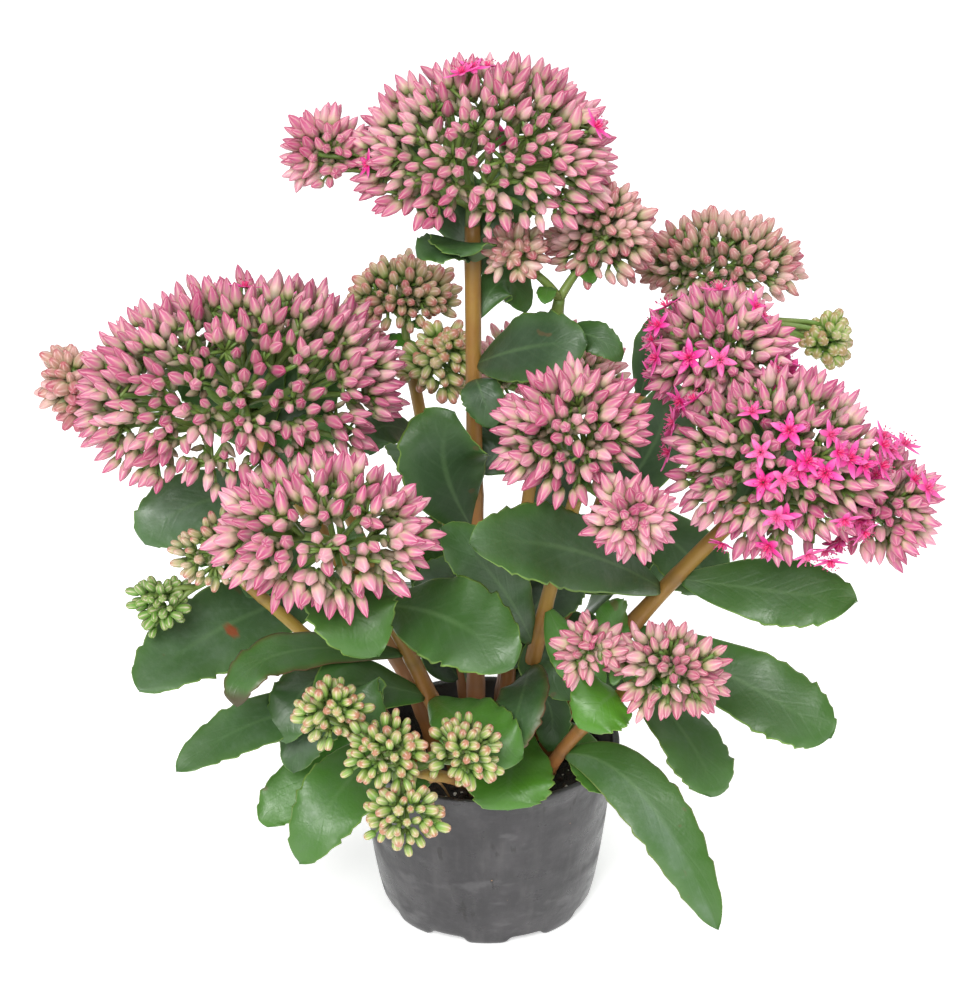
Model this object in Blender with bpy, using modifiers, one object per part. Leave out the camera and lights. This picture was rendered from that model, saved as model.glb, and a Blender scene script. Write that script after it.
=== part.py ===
"""A tall autumn stonecrop (sedum) growing in its round nursery pot.

The frame is +Z up, with the origin at the centre of the pot's flat base and the viewer's side at -Y.
Thirteen fleshy stems stand in holes in the soil, lean outwards as they rise, and each carries one
flower head. Large toothed leaves start a hair's breadth off the stems. A flower head is a neck that
branches to several small domes, whose faces are raised into pointed buds, with a few open stars.
The tables below give places in millimetres; the model itself is in metres.
"""

import math
import random
from collections import namedtuple

import bmesh
import bpy
from mathutils import Matrix, Vector

MM = 0.001

# The pot and the soil
POT_HEIGHT = 66.0
POT_RIM_RADIUS = 49.0
POT_BASE_RADIUS = 41.0
POT_DRAW_IN = 3.0
POT_DRAW_HEIGHT = 12.0
POT_WALL = 1.5
POT_RIM_DEPTH = 5.0
POT_RIM_LIP = 1.2
RIM_ROUNDING = 0.3
POT_FLOOR = 2.4
POT_LEVELS = (5.0, 24.0)
POT_SIDES = 28
FOOT_NOTCHES = 8
NOTCH_SIZE = (11.0, 4.0, 1.6)
SOIL_TOP = 58.0
SOIL_CROWN = 30.0
SOIL_FALL = 1.5
CLEARANCE = 0.3

# The stems
STEM_DEPTH = 20.0
STEM_LEAN = 1.3
STEM_POINTS = 7
STEM_TAPER = 0.78
STEM_SIDES = 6
HOLE_ROOM = 1.0

# The leaves
LEAF_THICKNESS = 1.5
LEAF_STATIONS = 7
LEAF_FOLD = 0.16
LEAF_FOLD_RISE = 3.0
LEAF_BASE_SHARE = 0.16
LEAF_SWELL_LATE = 1.15
LEAF_SWELL_BLUNT = 0.7
TOOTH_DEPTH = 0.09
TOOTH_START = 0.4
ROOT_STEP = 0.05

# The flower heads
NECK_LENGTH = 6.0
NECK_TAPER = 0.9
NECK_OVERLAP = 1.5
BRANCH_RADII = (1.9, 1.4)
BRANCH_SPREAD = 0.5
DOME_DEPTH = 0.3
DOME_LUMPS = 0.05
LUMP_WAVES = (7.0, 6.0)
BUD_STAND = 7.5
BUD_LENGTH = 12.0
BUD_SHOULDER = 0.6
BUD_SIZES = (0.7, 1.15)
BUD_INSET = 0.25
BUD_LOWEST = -0.1
STAR_RADIUS = 7.5
STAR_ROOT = 0.5
STAR_WAIST = 0.42
STAR_DEPTH = 7.0
STAR_STAND = 0.4
STAR_SIDEWAYS = 0.6
STAR_FORWARD = (-0.9, 0.3)
SCRAP_FACES = 8
SEED = 7

Stem = namedtuple("Stem", "foot top radius")
Leaf = namedtuple("Leaf", "stem height middle tip width face")
Dome = namedtuple("Dome", "centre radii cells axis branches")

STEMS = {
    "top": Stem((-4, 3), (-5, 4, 262), 3.5),
    "upper_right": Stem((6, 10), (24, -4, 232), 3.1),
    "right": Stem((21, -3), (92, -26, 172), 3.6),
    "centre": Stem((10, -13), (30, -46, 182), 3.2),
    "left": Stem((-18, -1), (-82, -6, 188), 3.6),
    "front_left": Stem((-11, -15), (-46, -52, 162), 3.2),
    "middle_back": Stem((-7, 19), (-28, 38, 200), 2.8),
    "back_right": Stem((19, 15), (66, 46, 212), 2.9),
    "low_front": Stem((-4, -28), (-26, -76, 92), 2.6),
    "low_right": Stem((20, -25), (50, -76, 127), 2.7),
    "left_low": Stem((-25, -14), (-84, -37, 146), 2.6),
    "back": Stem((5, 29), (24, 66, 158), 3.1),
    "back_left": Stem((-21, 15), (-70, 58, 172), 3.1),
}

FRONT = (0.0, -0.75, 0.65)
FRONT_LEFT = (-0.35, -0.65, 0.65)
FRONT_RIGHT = (0.35, -0.65, 0.65)
REAR = (0.0, 0.55, 0.8)
UP = (0.0, -0.3, 0.95)

LEAVES = {
    "leaf_left_broad": Leaf("left", 132, (-93, -26, 123), (-120, -54, 113), 31, FRONT),
    "leaf_left_folded": Leaf("front_left", 118, (-71, -62, 130), (-84, -78, 119), 17, FRONT_LEFT),
    "leaf_left_long": Leaf("left_low", 92, (-78, -52, 100), (-106, -74, 92), 18, FRONT),
    "leaf_left_small": Leaf("left_low", 84, (-67, -36, 66), (-78, -46, 54), 18, FRONT),
    "leaf_left_drooping": Leaf("left_low", 74, (-50, -60, 78), (-65, -74, 56), 25, FRONT),
    "leaf_left_upper": Leaf("left", 168, (-104, -8, 162), (-121, -12, 149), 26, FRONT),
    "leaf_left_back": Leaf("left", 104, (-72, 22, 116), (-106, 36, 100), 25, UP),
    "leaf_front_broad": Leaf("front_left", 152, (-45, -78, 159), (-36, -90, 144), 31, FRONT),
    "leaf_front_wide": Leaf("front_left", 140, (-12, -68, 146), (9, -84, 137), 32, FRONT),
    "leaf_front_narrow": Leaf("centre", 118, (2, -46, 152), (-16, -54, 174), 22, FRONT),
    "leaf_front_oval": Leaf("right", 134, (26, -58, 168), (-6, -76, 178), 29, FRONT),
    "leaf_front_dark": Leaf("top", 150, (-15, -12, 180), (-11, -16, 201), 32, FRONT),
    "leaf_middle_dark": Leaf("top", 212, (15, -15, 224), (34, -21, 228), 26, FRONT),
    "leaf_front_rim": Leaf("centre", 82, (8, -52, 78), (7, -60, 69), 31, FRONT),
    "leaf_front_red": Leaf("centre", 108, (12, -58, 111), (6, -66, 94), 20, FRONT_LEFT),
    "leaf_right_long": Leaf("low_right", 80, (54, -62, 76), (80, -80, 33), 22, FRONT),
    "leaf_right_low": Leaf("right", 108, (71, -44, 87), (78, -58, 73), 24, FRONT_RIGHT),
    "leaf_right_round": Leaf("right", 118, (97, -42, 105), (119, -52, 93), 27, FRONT),
    "leaf_right_broad": Leaf("right", 140, (101, -28, 138), (128, -40, 140), 25, FRONT),
    "leaf_right_hanging": Leaf("back_right", 150, (73, 0, 138), (79, -6, 124), 24, FRONT),
    "leaf_right_green": Leaf("low_right", 119, (39, -80, 122), (31, -84, 114), 23, FRONT),
    "leaf_right_back": Leaf("right", 84, (70, 8, 92), (98, 22, 80), 25, UP),
    "leaf_centre_green": Leaf("centre", 134, (30, -45, 121), (41, -52, 114), 16, FRONT),
    "leaf_centre_low": Leaf("centre", 98, (23, -23, 88), (22, -23, 72), 14, FRONT),
    "leaf_centre_lowest": Leaf("right", 77, (37, -37, 75), (42, -57, 73), 15, FRONT),
    "leaf_top_left": Leaf("top", 250, (-15, -5, 256), (-24, -9, 255), 18, UP),
    "leaf_top_right": Leaf("top", 244, (5, 10, 250), (14, 14, 248), 14, UP),
    "leaf_upper_right": Leaf("upper_right", 224, (36, -12, 227), (46, -17, 220), 12, FRONT),
    "leaf_back": Leaf("back", 108, (22, 78, 118), (30, 104, 98), 30, REAR),
    "leaf_back_left": Leaf("back_left", 104, (-60, 64, 114), (-80, 92, 96), 30, REAR),
    "leaf_back_right": Leaf("back_right", 92, (58, 52, 108), (82, 82, 88), 30, REAR),
    "leaf_back_middle": Leaf("middle_back", 140, (-24, 66, 150), (-30, 96, 136), 28, REAR),
}

HEADS = {
    "top": [
        Dome((-1, 3, 285), (45, 38, 36), 5, (0, -0.12, 1), 4),
        Dome((-54, 8, 285), (16, 15, 18), 2, (-0.5, 0, 1), 1),
    ],
    "upper_right": [
        Dome((39, 8, 255), (19, 17, 22), 3, (0.25, -0.3, 1), 2),
        Dome((10, -8, 256), (11, 10, 11), 2, (-0.3, -0.5, 1), 1),
    ],
    "right": [
        Dome((79, -16, 221), (27, 25, 25), 3, (-0.3, -0.2, 1), 2),
        Dome((98, -40, 192), (38, 34, 35), 4, (0.2, -0.8, 0.75), 3),
        Dome((133, -30, 171), (23, 22, 25), 3, (0.7, -0.3, 0.8), 1),
    ],
    "centre": [
        Dome((28, -54, 207), (27, 24, 26), 4, (-0.3, -0.4, 1), 3),
        Dome((46, -80, 189), (15, 14, 17), 2, (0.2, -0.9, 0.7), 1),
    ],
    "left": [
        Dome((-85, -12, 206), (58, 44, 41), 5, (-0.1, -0.25, 1), 4),
        Dome((-144, 12, 196), (13, 14, 21), 2, (-0.5, 0, 1), 1),
    ],
    "front_left": [Dome((-53, -83, 184), (38, 28, 26), 4, (0, -0.8, 0.8), 3)],
    "middle_back": [
        Dome((-30, 44, 221), (20, 16, 16), 3, (0, -0.1, 1), 1),
        Dome((-18, 24, 202), (13, 11, 20), 2, (0.4, -0.4, 1), 1),
    ],
    "back_right": [
        Dome((85, 54, 230), (30, 23, 20), 3, (0, -0.1, 1), 3),
        Dome((124, 52, 201), (10, 10, 12), 2, (0.6, 0, 1), 1),
    ],
    "low_front": [
        Dome((-51, -92, 124), (12, 11, 12), 2, (-0.4, -0.5, 1), 1),
        Dome((-33, -99, 113), (14, 12, 12), 2, (-0.1, -0.8, 1), 1),
        Dome((-8, -94, 111), (13, 12, 12), 2, (0.4, -0.6, 1), 1),
        Dome((-27, -108, 95), (13, 11, 11), 2, (0, -1, 0.6), 1),
    ],
    "low_right": [
        Dome((34, -92, 147), (13, 12, 14), 2, (-0.3, -0.5, 1), 1),
        Dome((60, -90, 138), (21, 17, 20), 3, (0.2, -0.8, 0.9), 2),
    ],
    "left_low": [
        Dome((-91, -45, 160), (16, 13, 14), 2, (-0.1, -0.4, 1), 1),
        Dome((-112, -40, 139), (10, 10, 12), 2, (-0.6, -0.4, 0.8), 1),
    ],
    "back": [Dome((22, 78, 176), (34, 30, 24), 3, (0.1, 0.3, 1), 3)],
    "back_left": [Dome((-70, 66, 190), (34, 30, 24), 3, (-0.2, 0.3, 1), 3)],
}

STARS = {"right": 4, "left": 1, "top": 2, "centre": 1}

# Colours as seen in a soft light: red, green, blue, then roughness
COLOURS = {
    "pot": (0.13, 0.12, 0.125, 0.5),
    "soil": (0.022, 0.015, 0.011, 0.95),
    "stem": (0.36, 0.27, 0.09, 0.5),
    "leaf": (0.07, 0.14, 0.065, 0.5),
    "head": (0.68, 0.22, 0.28, 0.6),
    "head_pale": (0.62, 0.50, 0.27, 0.6),
}
PALE_HEADS = ("low_front", "left_low", "middle_back", "back_right")


def clear_scene():
    """Removes every object that the scene starts with."""
    for thing in list(bpy.data.objects):
        bpy.data.objects.remove(thing, do_unlink=True)


def new_collection(name):
    """Adds a collection to the scene."""
    collection = bpy.data.collections.new(name)
    bpy.context.scene.collection.children.link(collection)
    return collection


def add_object(name, data, collection):
    """Links a new object that shows the given mesh or curve."""
    thing = bpy.data.objects.new(name, data)
    collection.objects.link(thing)
    return thing


def mesh_from(bm, name):
    """Writes a bmesh into a new mesh and frees it."""
    mesh = bpy.data.meshes.new(name)
    bm.to_mesh(mesh)
    bm.free()
    return mesh


def paint(thing, finish):
    """Gives an object a Principled material of its own, with the named finish."""
    red, green, blue, roughness = COLOURS[finish]
    material = bpy.data.materials.new(thing.name)
    material.use_nodes = True
    shader = material.node_tree.nodes["Principled BSDF"]
    shader.inputs["Base Color"].default_value = (red, green, blue, 1.0)
    shader.inputs["Roughness"].default_value = roughness
    shader.inputs["Metallic"].default_value = 0.0
    thing.data.materials.clear()
    thing.data.materials.append(material)


def smooth(thing):
    """Shades a round mesh smooth, apart from its sharp edges."""
    thing.data.shade_smooth()
    thing.data.set_sharp_from_angle(angle=math.radians(40))


def turned(name, profile, collection):
    """Turns a profile of (radius, height) points about Z into a closed solid."""
    bm = bmesh.new()
    points = [bm.verts.new((radius * MM, 0.0, height * MM)) for radius, height in profile]
    for lower, upper in zip(points, points[1:]):
        bm.edges.new((lower, upper))
    thing = add_object(name, mesh_from(bm, name), collection)
    screw = thing.modifiers.new("turn", "SCREW")
    screw.steps = POT_SIDES
    screw.render_steps = POT_SIDES
    screw.use_merge_vertices = True
    screw.merge_threshold = 0.00001
    return thing


def cut(thing, cutters):
    """Takes every object of the cutters' collection away from a solid."""
    boolean = thing.modifiers.new("cut", "BOOLEAN")
    boolean.operation = "DIFFERENCE"
    boolean.operand_type = "COLLECTION"
    boolean.collection = cutters
    boolean.solver = "EXACT"


def hide_cutter(thing):
    """Marks an object as a cutter."""
    thing.hide_render = True
    thing.display_type = "WIRE"


def wall_radius(height):
    """The pot's outer radius: a straight taper that draws in roundly towards the base."""
    body = POT_RIM_RADIUS - POT_RIM_LIP
    taper = (body - POT_BASE_RADIUS) * height / POT_HEIGHT
    return POT_BASE_RADIUS + taper - POT_DRAW_IN * math.exp(-height / POT_DRAW_HEIGHT)


def make_pot(parts):
    """A thin-walled pot with a rolled rim and drain notches round the edge of its base."""
    rim_low = POT_HEIGHT - POT_RIM_DEPTH
    low, middle = POT_LEVELS
    profile = [
        (0.0, POT_FLOOR),
        (wall_radius(POT_FLOOR) - POT_WALL, POT_FLOOR),
        (wall_radius(middle) - POT_WALL, middle),
        (wall_radius(rim_low) - POT_WALL, rim_low),
        (POT_RIM_RADIUS - POT_RIM_LIP - POT_WALL, POT_HEIGHT - 2 * RIM_ROUNDING),
        (POT_RIM_RADIUS - POT_RIM_LIP, POT_HEIGHT),
        (POT_RIM_RADIUS - RIM_ROUNDING, POT_HEIGHT - RIM_ROUNDING),
        (POT_RIM_RADIUS, POT_HEIGHT - POT_RIM_LIP),
        (POT_RIM_RADIUS - RIM_ROUNDING, rim_low),
        (wall_radius(rim_low), rim_low - 2 * RIM_ROUNDING),
        (wall_radius(middle), middle),
        (wall_radius(low), low),
        (wall_radius(0.0), 0.0),
        (0.0, 0.0),
    ]
    pot = turned("pot", profile, parts)
    notches = new_collection("pot_notches")
    for turn in range(FOOT_NOTCHES):
        angle = math.tau * (turn + 0.5) / FOOT_NOTCHES
        bm = bmesh.new()
        bmesh.ops.create_cube(bm, size=1.0)
        length, depth, height = NOTCH_SIZE
        bmesh.ops.scale(bm, vec=(depth * MM, length * MM, 2 * height * MM), verts=bm.verts)
        notch = add_object("pot_notch", mesh_from(bm, "pot_notch"), notches)
        reach = wall_radius(0.0) * MM
        notch.location = (reach * math.cos(angle), reach * math.sin(angle), 0.0)
        notch.rotation_euler = (0.0, 0.0, angle)
        hide_cutter(notch)
    cut(pot, notches)
    paint(pot, "pot")
    smooth(pot)


def make_soil(parts):
    """The soil fills the pot to just below its rim, with a plain hole for each stem."""
    room = POT_WALL + CLEARANCE
    edge = SOIL_TOP - SOIL_FALL
    middle = POT_LEVELS[1]
    bottom = POT_FLOOR + CLEARANCE
    profile = [
        (0.0, SOIL_TOP),
        (SOIL_CROWN, SOIL_TOP),
        (wall_radius(edge) - room, edge),
        (wall_radius(middle) - room, middle),
        (wall_radius(bottom) - room, bottom),
        (0.0, bottom),
    ]
    soil = turned("soil", profile, parts)
    holes = new_collection("soil_holes")
    for stem in STEMS.values():
        bm = bmesh.new()
        radius = (stem.radius + HOLE_ROOM) * MM
        bmesh.ops.create_cone(
            bm,
            cap_ends=True,
            segments=STEM_SIDES,
            radius1=radius,
            radius2=radius,
            depth=2 * (STEM_DEPTH + CLEARANCE) * MM,
        )
        hole = add_object("soil_hole", mesh_from(bm, "soil_hole"), holes)
        hole.location = (stem.foot[0] * MM, stem.foot[1] * MM, SOIL_TOP * MM)
        hide_cutter(hole)
    cut(soil, holes)
    paint(soil, "soil")


def stem_point(stem, share):
    """A point on a stem: it rises evenly and leans out by a power of its rise."""
    lean = share**STEM_LEAN
    top = Vector(stem.top)
    foot = Vector((stem.foot[0], stem.foot[1], SOIL_TOP))
    point = foot + (top - foot) * lean
    point.z = foot.z + (top.z - foot.z) * share
    return point


def stem_direction(stem, share):
    """The direction in which a stem grows at a share of its rise."""
    step = 0.002
    return (stem_point(stem, share) - stem_point(stem, share - step)).normalized()


def stem_radius(stem, share):
    """A stem tapers evenly from the soil to its flower head."""
    return stem.radius * (1.0 - (1.0 - STEM_TAPER) * share)


def make_stem(name, stem, parts):
    """A tapered stem that stands in its hole and leans out above the soil."""
    curve = bpy.data.curves.new(f"stem_{name}", "CURVE")
    curve.dimensions = "3D"
    curve.bevel_depth = MM
    curve.bevel_resolution = 1
    curve.use_fill_caps = True
    spline = curve.splines.new("POLY")
    foot = Vector((stem.foot[0], stem.foot[1], SOIL_TOP - STEM_DEPTH))
    points = [(foot, stem.radius)]
    for index in range(STEM_POINTS):
        share = index / (STEM_POINTS - 1)
        points.append((stem_point(stem, share), stem_radius(stem, share)))
    spline.points.add(len(points) - 1)
    for spot, (point, radius) in zip(spline.points, points):
        spot.co = (*(point * MM), 1.0)
        spot.radius = radius
    thing = add_object(f"stem_{name}", curve, parts)
    paint(thing, "stem")


def leaf_outline(share, station):
    """Half the blade's width: narrow at the base, widest past the middle, toothed to a blunt tip."""
    swell = math.sin(math.pi * share**LEAF_SWELL_LATE) ** LEAF_SWELL_BLUNT
    half = LEAF_BASE_SHARE + (1.0 - LEAF_BASE_SHARE) * swell
    if share > TOOTH_START:
        half *= 1.0 + TOOTH_DEPTH * (-1) ** station
    return half


def leaf_root(leaf):
    """Where a leaf starts: as near to its stem as the corners of its base allow."""
    stem = STEMS[leaf.stem]
    share = (leaf.height - SOIL_TOP) / (stem.top[2] - SOIL_TOP)
    centre = stem_point(stem, share)
    growth = stem_direction(stem, share)
    out = Vector(leaf.middle) - centre
    out = (out - growth * out.dot(growth)).normalized()
    bend = Vector(leaf.middle) * 2.0 - (centre + Vector(leaf.tip)) / 2.0
    along = (bend - centre).normalized()
    side = along.cross(Vector(leaf.face)).normalized() * (LEAF_BASE_SHARE * leaf.width / 2.0)
    flat = side.cross(along).normalized() * (LEAF_THICKNESS / 2.0)
    corners = [side + flat, side - flat, flat - side, -side - flat]
    radius = stem_radius(stem, share)
    reach = radius + CLEARANCE
    nearest = 0.0
    while nearest < radius + CLEARANCE:
        reach += ROOT_STEP
        spots = [out * reach + corner for corner in corners]
        nearest = min((spot - growth * spot.dot(growth)).length for spot in spots)
    return centre + out * reach


def make_leaf(name, leaf, parts):
    """A fleshy blade along an arc from its stem through its middle to its tip, folded at its rib."""
    root = leaf_root(leaf)
    middle = Vector(leaf.middle)
    tip = Vector(leaf.tip)
    bend = middle * 2.0 - (root + tip) / 2.0
    bm = bmesh.new()
    bmesh.ops.create_grid(bm, x_segments=2, y_segments=LEAF_STATIONS, size=1.0)
    for vert in bm.verts:
        across = vert.co.x
        share = (vert.co.y + 1.0) / 2.0
        station = round(share * LEAF_STATIONS)
        along = (bend - root).lerp(tip - bend, share).normalized()
        side = along.cross(Vector(leaf.face)).normalized()
        up = side.cross(along)
        spine = root.lerp(bend, share).lerp(bend.lerp(tip, share), share)
        half = leaf_outline(share, station) * leaf.width / 2.0
        fold = LEAF_FOLD * abs(across) * half * min(1.0, share * LEAF_FOLD_RISE)
        vert.co = (spine + side * across * half + up * fold) * MM
    bmesh.ops.triangulate(bm, faces=bm.faces)
    bmesh.ops.recalc_face_normals(bm, faces=bm.faces)
    thing = add_object(name, mesh_from(bm, name), parts)
    flesh = thing.modifiers.new("flesh", "SOLIDIFY")
    flesh.thickness = LEAF_THICKNESS * MM
    flesh.offset = 0.0
    paint(thing, "leaf")
    smooth(thing)


def aim(direction):
    """The turn that carries +Z onto a direction."""
    return Vector(direction).normalized().to_track_quat("Z", "Y").to_matrix().to_4x4()


def rod(start, end, radii, sides, collection):
    """A tapered rod between two points."""
    bm = bmesh.new()
    span = end - start
    bmesh.ops.create_cone(
        bm,
        cap_ends=True,
        segments=sides,
        radius1=radii[0] * MM,
        radius2=radii[1] * MM,
        depth=span.length * MM,
    )
    place = Matrix.Translation((start + end) / 2.0 * MM) @ aim(span)
    bmesh.ops.transform(bm, matrix=place, verts=bm.verts)
    return add_object("rod", mesh_from(bm, "rod"), collection)


def lumps(spot):
    """The slow rise and fall of a flower head's surface, from the direction of a point on it."""
    first, second = LUMP_WAVES
    return 1.0 + DOME_LUMPS * math.sin(first * spot.x + 1.0) * math.cos(second * spot.y)


def add_dome(dome, draw, collection):
    """A rounded core on a shallow funnel, its faces each raised into a pointed bud with a shoulder."""
    core = Vector([radius - BUD_STAND for radius in dome.radii]) * MM
    bm = bmesh.new()
    bmesh.ops.create_cube(bm, size=1.0)
    bmesh.ops.subdivide_edges(bm, edges=bm.edges[:], cuts=dome.cells - 1, use_grid_fill=True)
    for vert in bm.verts:
        spot = vert.co.normalized()
        vert.co = spot * core * lumps(spot)
    lower = [face for face in bm.faces if face.calc_center_median().z < BUD_LOWEST * core.z]
    bmesh.ops.delete(bm, geom=lower, context="FACES")
    upper = bm.faces[:]
    edge = [side for side in bm.edges if side.is_boundary]
    funnel = bmesh.ops.contextual_create(bm, geom=edge)["faces"]
    bmesh.ops.recalc_face_normals(bm, faces=bm.faces)
    foot = bmesh.ops.poke(bm, faces=funnel)["verts"]
    foot[0].co = Vector((0.0, 0.0, -DOME_DEPTH * core.z))
    for face in upper:
        length = BUD_LENGTH * draw.uniform(*BUD_SIZES) * MM
        width = BUD_INSET * math.sqrt(face.calc_area())
        shoulder = length * BUD_SHOULDER
        bmesh.ops.inset_individual(bm, faces=[face], thickness=width, depth=shoulder)
        bmesh.ops.poke(bm, faces=[face], offset=length - shoulder)
    place = Matrix.Translation(Vector(dome.centre) * MM) @ aim(dome.axis)
    bmesh.ops.transform(bm, matrix=place, verts=bm.verts)
    return add_object("dome", mesh_from(bm, "dome"), collection)


def add_branches(dome, hub, draw, collection):
    """Flower stalks that spread from the hub to the underside of a dome."""
    turn = aim(dome.axis).to_3x3()
    first = draw.uniform(0.0, math.tau)
    for index in range(dome.branches):
        angle = first + math.tau * index / dome.branches
        spread = BRANCH_SPREAD if dome.branches > 1 else 0.0
        across = spread * dome.radii[0] * math.cos(angle)
        beside = spread * dome.radii[1] * math.sin(angle)
        seat = Vector(dome.centre) + turn @ Vector((across, beside, 1.0))
        rod(hub, seat, BRANCH_RADII, 4, collection)


def add_star(dome, draw, collection):
    """An open flower: a five-pointed star whose underside narrows to a root sunk in its dome."""
    bm = bmesh.new()
    bmesh.ops.create_cone(
        bm,
        cap_ends=True,
        segments=10,
        radius1=STAR_ROOT * MM,
        radius2=STAR_RADIUS * MM,
        depth=STAR_DEPTH * MM,
    )
    rim = [vert for vert in bm.verts if vert.co.z > 0.0]
    for index, vert in enumerate(rim):
        if index % 2:
            vert.co.x *= STAR_WAIST
            vert.co.y *= STAR_WAIST
    sideways = draw.uniform(-STAR_SIDEWAYS, STAR_SIDEWAYS)
    facing = Vector((sideways, draw.uniform(*STAR_FORWARD), 0.8)).normalized()
    turn = aim(dome.axis)
    radii = Vector(dome.radii) - Vector((BUD_STAND, BUD_STAND, BUD_STAND))
    spot = Vector(dome.centre) + turn @ (facing * radii + facing * STAR_DEPTH * STAR_STAND)
    place = Matrix.Translation(spot * MM) @ turn @ aim(facing)
    bmesh.ops.transform(bm, matrix=place, verts=bm.verts)
    return add_object("star", mesh_from(bm, "star"), collection)


def drop_scraps(mesh):
    """Removes the loose slivers of a few faces that a union can leave behind."""
    bm = bmesh.new()
    bm.from_mesh(mesh)
    bmesh.ops.remove_doubles(bm, verts=bm.verts, dist=0.000001)
    unseen = set(bm.faces)
    scraps = []
    while unseen:
        island = {unseen.pop()}
        fresh = list(island)
        while fresh:
            beside = {near for edge in fresh.pop().edges for near in edge.link_faces}
            fresh += beside - island
            island |= beside
        unseen -= island
        if len(island) < SCRAP_FACES:
            scraps += island
    bmesh.ops.delete(bm, geom=scraps, context="FACES")
    bm.to_mesh(mesh)
    bm.free()


def join_all(base, pieces):
    """Unites an object with a collection's objects into one body and removes those objects."""
    union = base.modifiers.new("join", "BOOLEAN")
    union.operation = "UNION"
    union.operand_type = "COLLECTION"
    union.collection = pieces
    union.solver = "EXACT"
    graph = bpy.context.evaluated_depsgraph_get()
    joined = bpy.data.meshes.new_from_object(base.evaluated_get(graph))
    base.modifiers.clear()
    base.data = joined
    drop_scraps(joined)
    for piece in list(pieces.objects):
        bpy.data.objects.remove(piece, do_unlink=True)
    bpy.data.collections.remove(pieces)


def make_head(name, domes, parts):
    """A flower head: a neck on the stem's end, a branch to each dome, the budded domes and stars."""
    stem = STEMS[name]
    draw = random.Random(f"{SEED} {name}")
    growth = stem_direction(stem, 1.0)
    start = stem_point(stem, 1.0) + growth * CLEARANCE
    hub = start + growth * NECK_LENGTH
    radius = stem_radius(stem, 1.0)
    head = rod(start, hub, (radius, radius * NECK_TAPER), 8, parts)
    head.name = f"head_{name}"
    pieces = new_collection(f"{name}_pieces")
    for dome in domes:
        add_branches(dome, hub - growth * NECK_OVERLAP, draw, pieces)
        add_dome(dome, draw, pieces)
    for index in range(STARS.get(name, 0)):
        add_star(domes[index % len(domes)], draw, pieces)
    join_all(head, pieces)
    paint(head, "head_pale" if name in PALE_HEADS else "head")


def main():
    clear_scene()
    parts = new_collection("sedum_in_pot")
    make_pot(parts)
    make_soil(parts)
    for name, stem in STEMS.items():
        make_stem(name, stem, parts)
    for name, leaf in LEAVES.items():
        make_leaf(name, leaf, parts)
    for name, domes in HEADS.items():
        make_head(name, domes, parts)


main()
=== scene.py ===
"""The looks of a tall autumn stonecrop in its nursery pot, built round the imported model.

Every blade, stalk and flower head repeats the route of the solid that it stands for. The tables give
places in millimetres, and each surface is worked out with numpy as a function of two parameters.
"""

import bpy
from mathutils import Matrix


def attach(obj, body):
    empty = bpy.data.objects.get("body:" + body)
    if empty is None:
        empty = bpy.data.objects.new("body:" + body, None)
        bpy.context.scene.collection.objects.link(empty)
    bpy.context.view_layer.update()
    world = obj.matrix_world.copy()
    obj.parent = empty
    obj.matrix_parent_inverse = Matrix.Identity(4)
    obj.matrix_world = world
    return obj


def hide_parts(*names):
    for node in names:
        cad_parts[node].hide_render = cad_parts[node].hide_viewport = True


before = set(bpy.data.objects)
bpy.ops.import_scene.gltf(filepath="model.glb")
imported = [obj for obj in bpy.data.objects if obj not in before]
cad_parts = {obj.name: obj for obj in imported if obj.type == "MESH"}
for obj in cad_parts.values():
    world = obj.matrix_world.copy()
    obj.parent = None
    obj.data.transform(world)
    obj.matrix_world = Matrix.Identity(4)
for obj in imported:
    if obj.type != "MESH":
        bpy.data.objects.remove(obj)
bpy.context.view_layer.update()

import math
from collections import namedtuple

import bpy
import numpy as np
from mathutils import Vector

MM = 0.001
TURN = 2.0 * math.pi

# The pot and the soil, as in the solids but for slightly deeper notches
POT_HEIGHT = 66.0
POT_RIM_RADIUS = 49.0
POT_BASE_RADIUS = 41.0
POT_DRAW_IN = 3.0
POT_DRAW_HEIGHT = 12.0
POT_WALL = 1.5
POT_RIM_LIP = 1.2
FOOT_NOTCHES = 8
NOTCH_DEPTH = 2.2
SOIL_TOP = 58.0
SOIL_RADIUS = 44.6

# The stems and leaves, as in the solids
STEM_LEAN = 1.3
STEM_TAPER = 0.78
LEAF_THICKNESS = 1.7
LEAF_FOLD = 0.16
LEAF_BASE_SHARE = 0.16
NECK_LENGTH = 6.0
CLEARANCE = 0.3

# The photograph's view: a long lens, a little above the plant
CAMERA_SPOT = (-0.0007, -0.9, 0.55)
CAMERA_PITCH = 23.26
FOCAL_PIXELS = 2756.0
PHOTO_WIDTH = 970.0
SENSOR_WIDTH = 36.0

Stem = namedtuple("Stem", "foot top radius")
Leaf = namedtuple("Leaf", "stem height middle tip width face tint")
Dome = namedtuple("Dome", "centre radii axis")
Look = namedtuple("Look", "peach spacing bud stars")
Wear = namedtuple("Wear", "scale detail rise low high share colour")
Lamp = namedtuple("Lamp", "size power spot")

# Ways that a leaf's upper side can face
FRONT = (0.0, -0.75, 0.65)
FRONT_LEFT = (-0.35, -0.65, 0.65)
FRONT_RIGHT = (0.35, -0.65, 0.65)
REAR = (0.0, 0.55, 0.8)
UP = (0.0, -0.3, 0.95)

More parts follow.
